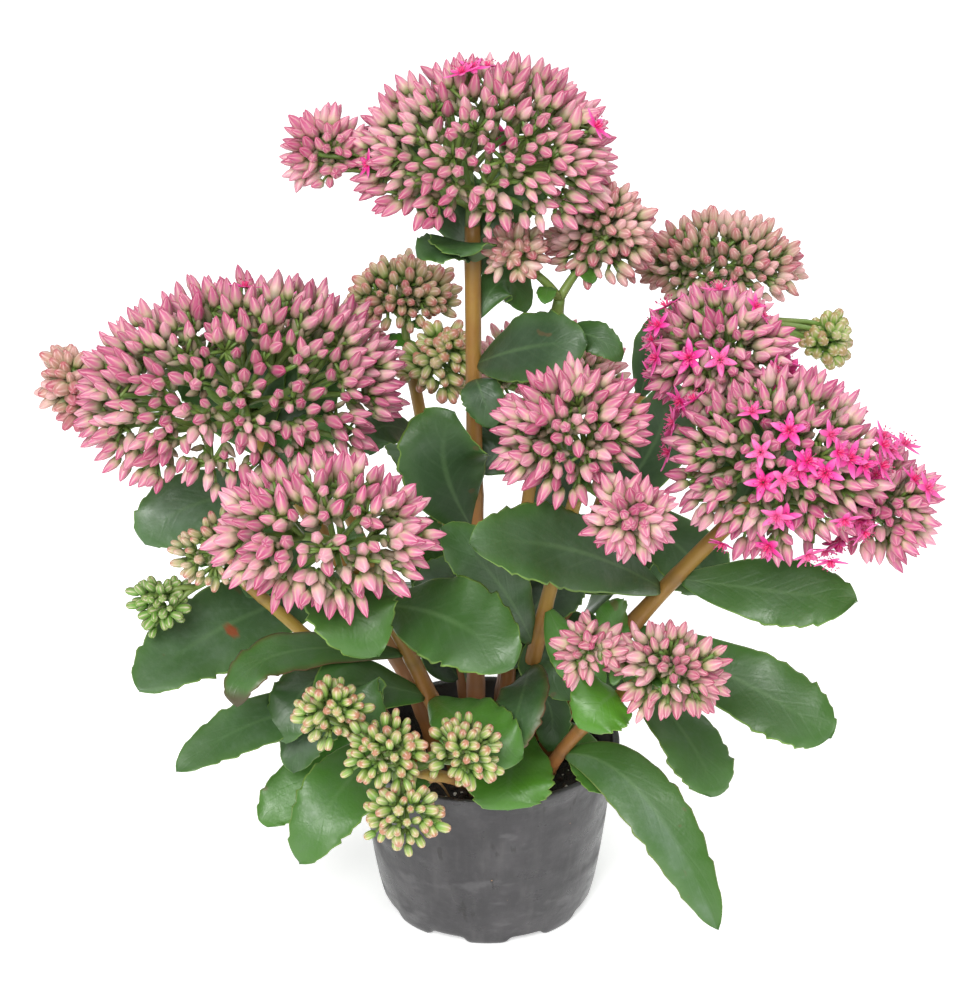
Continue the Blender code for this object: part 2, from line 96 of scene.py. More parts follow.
# Each stem's foot on the soil, its top under the flower head, and its radius at the soil
STEMS = {
    "top": Stem((-4, 3), (-5, 4, 262), 3.5),
    "upper_right": Stem((6, 10), (24, -4, 232), 3.1),
    "right": Stem((21, -3), (92, -26, 172), 3.6),
    "centre": Stem((10, -13), (30, -46, 182), 3.2),
    "left": Stem((-18, -1), (-82, -6, 188), 3.6),
    "front_left": Stem((-11, -15), (-46, -52, 162), 3.2),
    "middle_back": Stem((-7, 19), (-28, 38, 200), 2.8),
    "back_right": Stem((19, 15), (66, 46, 212), 2.9),
    "low_front": Stem((-4, -28), (-26, -76, 92), 2.6),
    "low_right": Stem((20, -25), (50, -76, 127), 2.7),
    "left_low": Stem((-25, -14), (-84, -37, 146), 2.6),
    "back": Stem((5, 29), (24, 66, 158), 3.1),
    "back_left": Stem((-21, 15), (-70, 58, 172), 3.1),
}

# Each leaf's stem, the height where it sits, its middle and tip, its width, the way it faces, and its
# tint from 0, dark blue-green, to 1, bright young green
LEAVES = {
    "left_broad": Leaf("left", 132, (-93, -26, 123), (-120, -54, 113), 31, FRONT, 0.25),
    "left_folded": Leaf("front_left", 118, (-71, -62, 130), (-84, -78, 119), 17, FRONT_LEFT, 0.45),
    "left_long": Leaf("left_low", 92, (-78, -52, 100), (-106, -74, 92), 18, FRONT, 0.3),
    "left_small": Leaf("left_low", 84, (-67, -36, 66), (-78, -46, 54), 18, FRONT, 0.75),
    "left_drooping": Leaf("left_low", 74, (-50, -60, 78), (-65, -74, 56), 25, FRONT, 0.65),
    "left_upper": Leaf("left", 168, (-104, -8, 162), (-121, -12, 149), 26, FRONT, 0.25),
    "left_back": Leaf("left", 104, (-72, 22, 116), (-106, 36, 100), 25, UP, 0.3),
    "front_broad": Leaf("front_left", 152, (-45, -78, 159), (-36, -90, 144), 31, FRONT, 0.45),
    "front_wide": Leaf("front_left", 140, (-12, -68, 146), (9, -84, 137), 32, FRONT, 0.3),
    "front_narrow": Leaf("centre", 118, (2, -46, 152), (-16, -54, 174), 22, FRONT, 0.2),
    "front_oval": Leaf("right", 134, (26, -58, 168), (-6, -76, 178), 29, FRONT, 0.15),
    "front_dark": Leaf("top", 150, (-15, -12, 180), (-11, -16, 201), 32, FRONT, 0.1),
    "middle_dark": Leaf("top", 212, (15, -15, 224), (34, -21, 228), 26, FRONT, 0.05),
    "front_rim": Leaf("centre", 82, (8, -52, 78), (7, -60, 69), 31, FRONT, 0.95),
    "front_red": Leaf("centre", 108, (12, -58, 111), (6, -66, 94), 20, FRONT_LEFT, 0.2),
    "right_long": Leaf("low_right", 80, (54, -62, 76), (80, -80, 33), 22, FRONT, 0.4),
    "right_low": Leaf("right", 108, (71, -44, 87), (78, -58, 73), 24, FRONT_RIGHT, 0.45),
    "right_round": Leaf("right", 118, (97, -42, 105), (119, -52, 93), 27, FRONT, 0.35),
    "right_broad": Leaf("right", 140, (101, -28, 138), (128, -40, 140), 25, FRONT, 0.4),
    "right_hanging": Leaf("back_right", 150, (73, 0, 138), (79, -6, 124), 24, FRONT, 0.2),
    "right_green": Leaf("low_right", 119, (39, -80, 122), (31, -84, 114), 23, FRONT, 1.0),
    "right_back": Leaf("right", 84, (70, 8, 92), (98, 22, 80), 25, UP, 0.3),
    "centre_green": Leaf("centre", 134, (30, -45, 121), (41, -52, 114), 16, FRONT, 0.8),
    "centre_low": Leaf("centre", 98, (23, -23, 88), (22, -23, 72), 14, FRONT, 0.15),
    "centre_lowest": Leaf("right", 77, (37, -37, 75), (42, -57, 73), 15, FRONT, 0.7),
    "top_left": Leaf("top", 250, (-15, -5, 256), (-24, -9, 255), 18, UP, 0.2),
    "top_right": Leaf("top", 244, (5, 10, 250), (14, 14, 248), 14, UP, 0.2),
    "upper_right": Leaf("upper_right", 224, (36, -12, 227), (46, -17, 220), 12, FRONT, 0.2),
    "back": Leaf("back", 108, (22, 78, 118), (30, 104, 98), 30, REAR, 0.35),
    "back_left": Leaf("back_left", 104, (-60, 64, 114), (-80, 92, 96), 30, REAR, 0.3),
    "back_right": Leaf("back_right", 92, (58, 52, 108), (82, 82, 88), 30, REAR, 0.4),
    "back_middle": Leaf("middle_back", 140, (-24, 66, 150), (-30, 96, 136), 28, REAR, 0.25),
}

# Smaller leaves that stand only here, between and behind the ones above
FILLERS = [
    Leaf("top", 170, (6, 10, 178), (9, 5, 190), 22, FRONT, 0.05),
    Leaf("upper_right", 150, (26, -4, 170), (36, -10, 178), 24, FRONT, 0.05),
    Leaf("back_right", 140, (61, 20, 176), (63, 24, 196), 25, FRONT, 0.1),
    Leaf("back_right", 186, (64, 30, 210), (76, 24, 218), 21, FRONT, 0.1),
    Leaf("right", 112, (45, -26, 124), (38, -30, 131), 19, FRONT, 0.75),
    Leaf("middle_back", 116, (-22, 4, 142), (-27, 0, 151), 17, FRONT, 0.6),
    Leaf("front_left", 98, (-47, -58, 116), (-34, -70, 106), 25, FRONT, 0.35),
    Leaf("left_low", 106, (-65, -44, 106), (-70, -54, 92), 19, FRONT, 0.2),
    Leaf("top", 228, (6, 14, 238), (14, 16, 226), 15, FRONT, 0.4),
    Leaf("middle_back", 170, (-37, 12, 184), (-42, 6, 176), 16, FRONT, 0.2),
    Leaf("front_left", 96, (-4, -66, 104), (12, -76, 99), 24, FRONT, 0.8),
    Leaf("left_low", 90, (-60, -38, 92), (-68, -46, 76), 19, FRONT, 0.05),
    Leaf("right", 88, (22, -24, 108), (31, -32, 98), 22, FRONT, 0.15),
    Leaf("left", 148, (-70, -22, 152), (-84, -32, 138), 22, FRONT, 0.2),
    Leaf("top", 120, (-14, -8, 132), (-22, -16, 120), 22, FRONT, 0.1),
    Leaf("back_right", 120, (58, 30, 126), (74, 36, 116), 24, FRONT, 0.25),
    Leaf("middle_back", 104, (-34, 34, 112), (-50, 44, 100), 24, REAR, 0.3),
    Leaf("back", 132, (30, 70, 146), (44, 84, 134), 22, REAR, 0.3),
    Leaf("back_left", 138, (-72, 34, 146), (-88, 34, 132), 22, UP, 0.3),
    Leaf("upper_right", 124, (36, 26, 134), (50, 36, 124), 22, REAR, 0.2),
    Leaf("left", 176, (-68, 10, 192), (-50, 12, 208), 27, FRONT, 0.3),
    Leaf("left", 180, (-92, 12, 194), (-112, 14, 206), 27, FRONT, 0.4),
    Leaf("left", 172, (-66, -2, 182), (-52, -4, 190), 20, FRONT, 0.6),
    Leaf("left", 184, (-84, 14, 202), (-84, 16, 222), 26, FRONT, 0.3),
    Leaf("top", 254, (8, 14, 270), (24, 16, 284), 24, FRONT, 0.4),
    Leaf("top", 252, (-14, 14, 270), (-28, 16, 284), 24, FRONT, 0.3),
    Leaf("right", 164, (86, -16, 182), (76, -12, 200), 26, FRONT, 0.3),
    Leaf("right", 160, (102, -22, 176), (120, -22, 186), 26, FRONT, 0.4),
    Leaf("right", 166, (98, -18, 188), (108, -16, 208), 24, FRONT, 0.4),
    Leaf("middle_back", 80, (-12, 20, 90), (4, 14, 96), 26, FRONT, 0.0),
    Leaf("top", 90, (8, 14, 98), (22, 16, 104), 24, FRONT, 0.0),
    Leaf("upper_right", 84, (30, 14, 96), (46, 8, 92), 26, FRONT, 0.05),
    Leaf("middle_back", 92, (-30, 16, 102), (-44, 8, 100), 24, FRONT, 0.0),
    Leaf("upper_right", 104, (24, 16, 120), (34, 14, 134), 26, FRONT, 0.0),
    Leaf("top", 100, (-16, 10, 118), (-28, 6, 130), 26, FRONT, 0.05),
    Leaf("back_right", 116, (50, 18, 130), (62, 12, 140), 26, FRONT, 0.05),
    Leaf("top", 206, (-2, -6, 204), (2, -9, 192), 15, FRONT, 0.1),
    Leaf("top", 250, (-8, -9, 259), (-9, -21, 259), 23, UP, 0.15),
]

# Each head's rounded clusters: centre, radii (two across and one out) and the way it points
HEADS = {
    "top": [
        Dome((-1, 3, 285), (45, 38, 36), (0, -0.12, 1)),
        Dome((-54, 8, 285), (16, 15, 18), (-0.5, 0, 1)),
    ],
    "upper_right": [
        Dome((39, 8, 255), (19, 17, 22), (0.25, -0.3, 1)),
        Dome((10, -8, 256), (11, 10, 11), (-0.3, -0.5, 1)),
    ],
    "right": [
        Dome((79, -16, 221), (27, 25, 25), (-0.3, -0.2, 1)),
        Dome((98, -40, 192), (38, 34, 35), (0.2, -0.8, 0.75)),
        Dome((133, -30, 171), (23, 22, 25), (0.7, -0.3, 0.8)),
    ],
    "centre": [
        Dome((28, -54, 207), (27, 24, 26), (-0.3, -0.4, 1)),
        Dome((46, -80, 189), (15, 14, 17), (0.2, -0.9, 0.7)),
    ],
    "left": [
        Dome((-85, -12, 206), (58, 44, 41), (-0.1, -0.25, 1)),
        Dome((-144, 12, 196), (13, 14, 21), (-0.5, 0, 1)),
    ],
    "front_left": [Dome((-53, -83, 184), (38, 28, 26), (0, -0.8, 0.8))],
    "middle_back": [
        Dome((-30, 44, 221), (20, 16, 16), (0, -0.1, 1)),
        Dome((-18, 24, 202), (13, 11, 20), (0.4, -0.4, 1)),
    ],
    "back_right": [
        Dome((85, 54, 230), (30, 23, 20), (0, -0.1, 1)),
        Dome((124, 52, 201), (10, 10, 12), (0.6, 0, 1)),
    ],
    "low_front": [
        Dome((-51, -92, 124), (12, 11, 12), (-0.4, -0.5, 1)),
        Dome((-33, -99, 113), (14, 12, 12), (-0.1, -0.8, 1)),
        Dome((-8, -94, 111), (13, 12, 12), (0.4, -0.6, 1)),
        Dome((-27, -108, 95), (13, 11, 11), (0, -1, 0.6)),
    ],
    "low_right": [
        Dome((34, -92, 147), (13, 12, 14), (-0.3, -0.5, 1)),
        Dome((60, -90, 138), (21, 17, 20), (0.2, -0.8, 0.9)),
    ],
    "left_low": [
        Dome((-91, -45, 160), (16, 13, 14), (-0.1, -0.4, 1)),
        Dome((-112, -40, 139), (10, 10, 12), (-0.6, -0.4, 0.8)),
    ],
    "back": [Dome((22, 78, 176), (34, 30, 24), (0.1, 0.3, 1))],
    "back_left": [Dome((-70, 66, 190), (34, 30, 24), (-0.2, 0.3, 1))],
}

# Peach is how far a head's buds are from pink, spacing and bud are in millimetres, stars is a share
LOOKS = {
    "top": Look(0.12, 5.0, 8.8, 0.01),
    "upper_right": Look(0.4, 4.7, 7.8, 0.0),
    "right": Look(0.04, 5.2, 9.2, 0.13),
    "centre": Look(0.1, 5.1, 9.2, 0.0),
    "left": Look(0.1, 5.1, 9.2, 0.004),
    "front_left": Look(0.08, 5.7, 9.8, 0.0),
    "middle_back": Look(0.7, 4.7, 7.0, 0.0),
    "back_right": Look(0.45, 4.6, 7.6, 0.0),
    "low_front": Look(1.0, 5.0, 5.6, 0.0),
    "low_right": Look(0.22, 5.4, 7.6, 0.0),
    "left_low": Look(1.0, 4.8, 5.4, 0.0),
    "back": Look(0.3, 5.4, 8.0, 0.02),
    "back_left": Look(0.3, 5.4, 8.0, 0.04),
}

# Clusters that are younger than the rest of their head, by head and number: 1 is peach, 2 is green
YOUNG = {
    ("left", 1): 0.5,
    ("back_right", 1): 1.5,
    ("middle_back", 1): 0.9,
    ("upper_right", 1): 0.5,
    ("left_low", 0): 0.75,
    ("left_low", 1): 2.0,
}
PALE_HEADS = ("low_front", "left_low", "middle_back", "back_right")

# How dry and brown a leaf's edge is, how dusty its skin is, which leaves have a brown scar, and which
# have painted light on one half: that half is made pale with dust, as if lit, and the other kept dark
# green. Other leaves draw their values below a limit.
DRY_EDGE = {"front_red": 1.0, "left_folded": 0.9, "right_long": 0.4, "right_low": 0.35}
# right_long's dust is raised past one so that the painted light on its lit half is paler
BLOOM_AND_PAINTED_LIGHT = {"left_upper": 1.0, "right_long": 1.4, "left_broad": 0.75, "left_long": 0.7, "right_green": 0.0}
SCARRED = ("left_broad",)
# Painted light: one half of these leaves is made pale, as if lit, and the other half kept dark
HALF_PAINTED_LIGHT = ("right_long",)
USUAL_DRY_EDGE = 0.25
USUAL_BLOOM = 0.6
SCAR_PLACE = (0.48, -0.17)
SCAR_SPREAD = (0.0006, 0.02)

# A blade's outline: its swell, its rounded tip, and its teeth
ROOT_REACH = 0.8
SWELL_LATE = 1.15
SWELL_BLUNT = 0.7
TIP_START = 0.93
TIP_ROUNDING = 0.995
FEWEST_TEETH = 7.0
MORE_TEETH = 4.0
TOOTH_CROWDING = 1.2
TOOTH_LEAN = 0.75
TOOTH_UNEVEN = 0.35
TOOTH_START = 0.3
TOOTH_DEPTH = 0.075

# A blade's relief: shares of its thickness or width, and millimetres on a leaf of the usual width
USUAL_WIDTH = 26.0
RIB_WIDTH = 0.09
RIB_GROOVE = 0.3
RIB_KEEL = 0.7
EDGE_THINNING = 0.35
WAVE_HEIGHTS = (0.9, 0.8)
EDGE_CURL = 0.06

# How flower heads are filled: tips stand out past the dome, and a second layer fills in below them
SPOTS_TRIED = 6000
TIP_STAND = 3.6
TIP_LOOSE = 2.4
LOWEST_TIP = -0.34
INNER_DEPTH = 8.5
INNER_SPACING = 1.12
INNER_SIZE = 0.74
KNOT_DEPTH = 15.0
KNOT_SPACING = 2.9
NARROWEST_CYME = 13.0
CYME_REACH = 14.0
CYME_SINK = 0.04
FORK_SPACING = 26.0

# Buds: lengths as shares of their head's, radii as shares of their own, how they are aimed, how unevenly
# cymes ripen, and how much of a bud's shade is its own, not its cyme's. Open stars: millimetres
BUD_SIZES = (0.76, 1.1)
BUD_RADII = (0.205, 0.25)
YOUNG_PLUMPNESS = 0.25
BUD_LOOSENESS = 0.17
AIM_OUT = 0.8
AIM_FANNED = 0.5
RIPE_POWER = 1.5
RIPE_MOST = 2.5
OWN_SHADE = 0.6
STAR_RADII = (5.2, 7.2)
STAR_LOOSENESS = 0.22
STAR_SINK = 2.0

# Stems: how far they run on below the soil, their knots as shares of their rise, and how oval they are
STEM_SINK = 0.12
KNOTS = 5
KNOT_WIDTH = 0.018
KNOT_SWELL = 0.1
STEM_OVAL = 0.04

# Stalk radii at start and end, and the small leaves below a head, with widths as shares of lengths
BRANCH_RADII = (1.7, 1.35)
TWIG_RADII = (1.15, 0.95)
PEDICEL_RADII = (0.75, 0.6)
BRACT_LENGTHS = (9.0, 13.0)
BRACT_WIDTHS = (0.42, 0.6)
BRACT_THICKNESS = 0.9

# Loose soil: its waves as (radians a millimetre, height), its grains, and a dry twig. The pot's
# profile, foot and waver
SOIL_SINK = 1.3
SOIL_SKIRT = 8.0
SOIL_WAVES = ((0.11, 0.9), (0.31, 0.6), (0.83, 0.45), (1.9, 0.35))
SOIL_ROUGHNESS = 0.35
GRAIN_ROUGHNESS = 0.14
GRAIN_MARGIN = 1.5
GRAIN_SINK = 1.2
GRAIN_HEIGHTS = (-0.6, 0.7)
TWIG_START = (-13.0, -38.0, 61.0)
TWIG_END = (-24.5, -44.2, 63.5)
POT_FILL = 30.0
RIM_BAND = 7.0
FOOT_RADIUS = 36.9
FOOT_RISE = 5.0
POT_WAVER = (0.22, 0.12)

# Grid sizes of the surfaces
LEAF_GRID = (58, 18)
BRACT_GRID = (18, 12)
STEM_RINGS = 44
STEM_SIDES = 14
POT_SIDES = 192
SOIL_RINGS = 44
SOIL_SIDES = 150

# Seeds of the random draws. Grains on the soil: how many, smallest, largest and kind, where 0.5 is
# brown, 0.8 is tan and 1 is pale
FILLER_SEED = 50
HEAD_SEED = 100
SOIL_SEED = 3
GRAINS = ((260, 1.0, 3.4, 0.5), (50, 0.9, 2.4, 1.0))
TWIG_KIND = 0.8

# Every colour is linear red, green and blue, and a band of colours is a list of (place, colour) stops.
# Leaves: skin, dust, margin, veins, underside, edges and flaws
LEAF_DARK = (0.017, 0.043, 0.016)
LEAF_YOUNG = (0.068, 0.225, 0.010)
DUST_THIN = (0.068, 0.120, 0.060)
DUST_THICK = (0.130, 0.200, 0.130)
LEAF_MARGIN = (0.055, 0.150, 0.018)
LEAF_VEIN = (0.10, 0.19, 0.08)
LEAF_RIB = (0.13, 0.24, 0.09)
LEAF_UNDERSIDE = (0.16, 0.25, 0.13)
EDGE_FRESH = (0.24, 0.40, 0.07)
EDGE_DRY = (0.20, 0.055, 0.028)
SCORCH = (0.10, 0.045, 0.02)
CRISP_TIP = (0.055, 0.025, 0.015)
BLEMISH = (0.13, 0.07, 0.03)
LEAF_SCAR = (0.24, 0.06, 0.02)

# Buds, from foot to tip and by how they differ, and open flowers, by part
PINK_BUD = [
    (0.0, (0.08, 0.15, 0.03)),
    (0.20, (0.25, 0.29, 0.09)),
    (0.38, (0.62, 0.42, 0.33)),
    (0.58, (0.66, 0.21, 0.34)),
    (0.82, (0.56, 0.09, 0.26)),
    (1.0, (0.42, 0.03, 0.14)),
]
PEACH_BUD = [
    (0.0, (0.07, 0.17, 0.02)),
    (0.4, (0.17, 0.33, 0.045)),
    (0.74, (0.33, 0.42, 0.10)),
    (0.93, (0.44, 0.36, 0.15)),
    (1.0, (0.42, 0.19, 0.10)),
]
GREEN_BUD = (0.12, 0.29, 0.035)
SEAM_CREAM = (0.62, 0.58, 0.36)
SEAM_PINK = (0.90, 0.62, 0.62)
BUD_PALE = (0.82, 0.50, 0.53)
BUD_DEEP = (0.40, 0.05, 0.15)
# Painted shade: the dark green that buds deep in a head are turned to
BUD_SHADED = (0.10, 0.17, 0.035)
BUD_FLECK = (0.62, 0.46, 0.40)
PETAL = [(0.0, (0.70, 0.012, 0.19)), (0.4, (0.80, 0.035, 0.32)), (1.0, (0.80, 0.17, 0.44))]
PETAL_PALE = (0.80, 0.20, 0.42)
STAR_PARTS = [
    (0.0, (0.8, 0.05, 0.3)),
    (0.5, (0.75, 0.03, 0.18)),
    (0.7, (0.85, 0.25, 0.45)),
    (1.0, (0.42, 0.03, 0.12)),
]

# Stems and flower stalks: low down, high up, and their flecks
STEM_COLOURS = ((0.26, 0.11, 0.028), (0.38, 0.26, 0.04), (0.26, 0.09, 0.03))
RAY_COLOURS = ((0.13, 0.20, 0.04), (0.11, 0.23, 0.035), (0.22, 0.28, 0.07))
KNOT_SCAR = (0.12, 0.07, 0.03)

# Soil, its grains by kind, the pot's plastic, and the painted shade in the notches under the pot
CRUMBS = [(0.3, (0.005, 0.0035, 0.0025)), (0.55, (0.018, 0.012, 0.008)), (0.75, (0.05, 0.03, 0.018))]
GRAIN_KINDS = [
    (0.0, (0.02, 0.01, 0.01)),
    (0.5, (0.035, 0.02, 0.012)),
    (0.8, (0.42, 0.24, 0.10)),
    (1.0, (0.62, 0.58, 0.52)),
]
PLASTIC = (0.038, 0.036, 0.039)
PLASTIC_WORN = (0.068, 0.064, 0.068)
# Painted shade: near black in the notches between the pot's feet, where shade falls under the pot
NOTCH_PAINTED_SHADE = (0.01, 0.01, 0.01)

# What wears the pot: noise of a scale, detail and rise, which shows between two levels, by a share
POT_WEAR = {
    "streaks": Wear(150.0, 5.0, 0.12, 0.5, 0.75, 0.35, (0.12, 0.115, 0.115)),
    "scuffs": Wear(60.0, 6.0, 2.4, 0.58, 0.72, 0.3, (0.17, 0.165, 0.17)),
    "scratches": Wear(210.0, 3.0, 0.35, 0.66, 0.72, 0.7, (0.022, 0.020, 0.020)),
    "dirt": Wear(330.0, 1.0, 1.0, 0.79, 0.82, 0.8, (0.36, 0.20, 0.10)),
}

# The studio, in metres: how far the floor reaches, how bright floor and world are, and the lamps
FLOOR_REACH = 6.0
FLOOR_GLOW = 0.5
WORLD_GLOW = 0.45
LAMPS = {
    "front": Lamp(0.8, 34.0, (-0.35, -1.5, 1.3)),
    "above": Lamp(1.2, 14.0, (0.5, 0.3, 1.6)),
}
LAMP_AIM = (0.0, 0.0, 0.17)


def unit(vectors):
    """Each vector divided by its length."""
    vectors = np.asarray(vectors, float)
    return vectors / np.linalg.norm(vectors, axis=-1, keepdims=True)


def frames_along(directions, hint=(0.0, 0.0, 1.0)):
    """Two unit vectors across each direction, right-handed with it: the direction crossed with a hint,
    and the direction crossed with that."""
    directions = unit(directions)
    hints = np.broadcast_to(np.asarray(hint, float), directions.shape).copy()
    steep = np.abs((directions * unit(hints)).sum(-1)) > 0.95
    hints[steep] = (0.0, 1.0, 0.0)
    first = unit(np.cross(directions, hints))
    return first, np.cross(directions, first)


def grid_faces(rows, columns):
    """The quads of a grid of rows by columns, joined round its columns."""
    row = np.arange(rows - 1)[:, None] * columns
    column = np.arange(columns)[None, :]
    after = (column + 1) % columns
    quads = np.stack([row + column, row + after, row + columns + after, row + columns + column], -1)
    return quads.reshape(-1, 4)


def fan_faces(first, count, centre, flip):
    """The triangles from a closed ring of points to one centre point."""
    ring = first + np.arange(count)
    after = first + (np.arange(count) + 1) % count
    centres = np.full(count, centre)
    return np.stack([after, ring, centres] if flip else [ring, after, centres], -1)


def tube_faces(rings, sides):
    """The quads and end fans of a tube whose last two points are its start and end poles."""
    quads = grid_faces(rings, sides)
    start = fan_faces(0, sides, rings * sides, True)
    end = fan_faces((rings - 1) * sides, sides, rings * sides + 1, False)
    return quads, np.concatenate([start, end])


def copies(points, quads, triangles):
    """Repeats one mesh's faces for every copy in points, an array of copies by points by three."""
    count, size = points.shape[:2]
    shift = (np.arange(count) * size)[:, None, None]
    many_quads = (quads[None] + shift).reshape(-1, 4)
    many_triangles = (triangles[None] + shift).reshape(-1, 3)
    return points.reshape(-1, 3), many_quads, many_triangles


def merge(meshes):
    """Puts several (points, quads, triangles, marks) meshes into one."""
    shift = 0
    points, quads, triangles = [], [], []
    marks = {name: [] for name in meshes[0][3]}
    for some_points, some_quads, some_triangles, some_marks in meshes:
        points.append(some_points)
        quads.append(some_quads + shift)
        triangles.append(some_triangles + shift)
        for name, values in marks.items():
            values.append(np.broadcast_to(some_marks[name], len(some_points)))
        shift += len(some_points)
    joined = {name: np.concatenate(values) for name, values in marks.items()}
    return np.concatenate(points), np.concatenate(quads), np.concatenate(triangles), joined


def add_thing(name, data):
    """A new object in the scene."""
    thing = bpy.data.objects.new(name, data)
    bpy.context.scene.collection.objects.link(thing)
    return thing


def add_piece(name, mesh_parts, material, slot, *nodes):
    """Writes points in millimetres and faces into a mesh that rides on the plant and replaces nodes."""
    points, quads, triangles, marks = mesh_parts
    mesh = bpy.data.meshes.new(name)
    mesh.vertices.add(len(points))
    mesh.vertices.foreach_set("co", (points * MM).astype(np.float32).ravel())
    corners = np.concatenate([quads.ravel(), triangles.ravel()]).astype(np.int32)
    sizes = np.concatenate([np.full(len(quads), 4), np.full(len(triangles), 3)])
    starts = np.concatenate([[0], np.cumsum(sizes)[:-1]])
    mesh.loops.add(len(corners))
    mesh.loops.foreach_set("vertex_index", corners)
    mesh.polygons.add(len(sizes))
    mesh.polygons.foreach_set("loop_start", starts.astype(np.int32))
    mesh.polygons.foreach_set("loop_total", sizes.astype(np.int32))
    mesh.update(calc_edges=True)
    mesh.shade_smooth()
    for label, values in marks.items():
        layer = mesh.attributes.new(label, "FLOAT", "POINT")
        layer.data.foreach_set("value", np.broadcast_to(values, len(points)).astype(np.float32))
    mesh.materials.append(material)
    piece = add_thing(name, mesh)
    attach(piece, "root")
    if nodes:
        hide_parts(*nodes)


def stem_points(stem, shares):
    """Points on a stem: it rises evenly and leans out by a power of its rise."""
    foot = np.array([*stem.foot, SOIL_TOP], float)
    top = np.array(stem.top, float)
    shares = np.atleast_1d(np.asarray(shares, float))[:, None]
    lean = np.clip(shares, 0.0, None) ** STEM_LEAN
    points = foot + (top - foot) * lean
    points[:, 2] = (foot + (top - foot) * shares)[:, 2]
    return points


def stem_growth(stem, share):
    """The unit direction in which a stem grows at one share of its rise."""
    step = 0.002
    before, after = stem_points(stem, [share - step, share])
    return unit(after - before)


def stem_radius(stem, share):
    """A stem tapers evenly from the soil to its flower head."""
    return stem.radius * (1.0 - (1.0 - STEM_TAPER) * share)


def leaf_share(leaf):
    """Where on its stem's rise a leaf sits."""
    stem = STEMS[leaf.stem]
    return (leaf.height - SOIL_TOP) / (stem.top[2] - SOIL_TOP)


def leaf_root(leaf):
    """A leaf starts just under its stem's skin, on the side that it grows to."""
    stem = STEMS[leaf.stem]
    share = leaf_share(leaf)
    centre = stem_points(stem, share)[0]
    growth = stem_growth(stem, share)
    out = np.array(leaf.middle, float) - centre
    out = unit(out - growth * (out @ growth))
    return centre + out * stem_radius(stem, share) * ROOT_REACH


def leaf_outline(share, across, teeth, phase):
    """Half a blade's width: narrow at its base, widest past its middle, round at its tip, with
    forward-leaning teeth that fade in along the blade and out towards its rib."""
    swell = np.sin(np.pi * share**SWELL_LATE) ** SWELL_BLUNT
    half = LEAF_BASE_SHARE + (1.0 - LEAF_BASE_SHARE) * swell
    close = np.clip((share - TIP_START) / (1.0 - TIP_START), 0.0, 1.0)
    half = half * np.sqrt(1.0 - close**2 * TIP_ROUNDING)
    wave = TURN * teeth * share**TOOTH_CROWDING + phase
    size = 1.0 - TOOTH_UNEVEN + TOOTH_UNEVEN * np.sin(wave * 0.37 + phase)
    saw = np.sin(wave + TOOTH_LEAN * np.sin(wave)) * size
    depth = TOOTH_DEPTH * np.clip(share / TOOTH_START - 1.0, 0.0, 1.0) * (1.0 - close)
    return half * (1.0 + depth * saw * np.abs(across) ** 5)


def leaf_relief(share, across, lift, half, width, thickness, draw):
    """How far a blade's skin lies off its spine: half its flesh, thinner towards its edges and tip,
    a groove or keel along its rib, a fold up to both sides, slow waves, and a curl at its edges."""
    grown = np.clip(share * 3.0, 0.0, 1.0)
    flesh = thickness / 2.0 * lift * (0.55 + 0.45 * np.clip(share * 6.0, 0.0, 1.0))
    flesh = flesh * (1.0 - EDGE_THINNING * np.abs(across)) * np.clip((1.0 - share) * 12.0, 0.25, 1.0)
    rib = np.exp(-((across / RIB_WIDTH) ** 2)) * (1.0 - share) ** 0.4
    groove = -RIB_GROOVE * rib * (lift > 0) - RIB_KEEL * rib * (lift <= 0)
    fold = LEAF_FOLD * np.abs(across) * half * grown
    slow = TURN * (share * (1.2 + draw.random()) + draw.random())
    tilt = WAVE_HEIGHTS[0] * np.sin(slow) * across
    ripple = WAVE_HEIGHTS[1] * np.sin(slow * 2.3 + 1.0) * np.abs(across) ** 3
    waves = width / USUAL_WIDTH * (tilt + ripple) * grown
    return flesh + groove + fold + waves - EDGE_CURL * half * across**4


def leaf_marks(leaf, name, across, along, under, draw):
    """What a leaf's material reads at each point: where it lies on the blade, and the leaf's own tint,
    dry edge, dust and scar. On a leaf lit on one half, the dust also carries painted light."""
    dry = DRY_EDGE.get(name, USUAL_DRY_EDGE * draw.random())
    bloom = BLOOM_AND_PAINTED_LIGHT.get(name, USUAL_BLOOM * draw.random())
    # Painted light: the dust fades out over one half, which stays dark, and the other half is pale as if
    # lit
    if name in HALF_PAINTED_LIGHT:
        bloom = bloom * (0.5 + 0.5 * np.tanh(across * 9.0))
    away = (along - SCAR_PLACE[0]) ** 2 / SCAR_SPREAD[0] + (across - SCAR_PLACE[1]) ** 2 / SCAR_SPREAD[1]
    scar = np.exp(-away) * (name in SCARRED)
    marks = {"across": across, "along": along, "under": under, "tint": leaf.tint}
    return {**marks, "dry": dry, "bloom": bloom, "scar": scar}


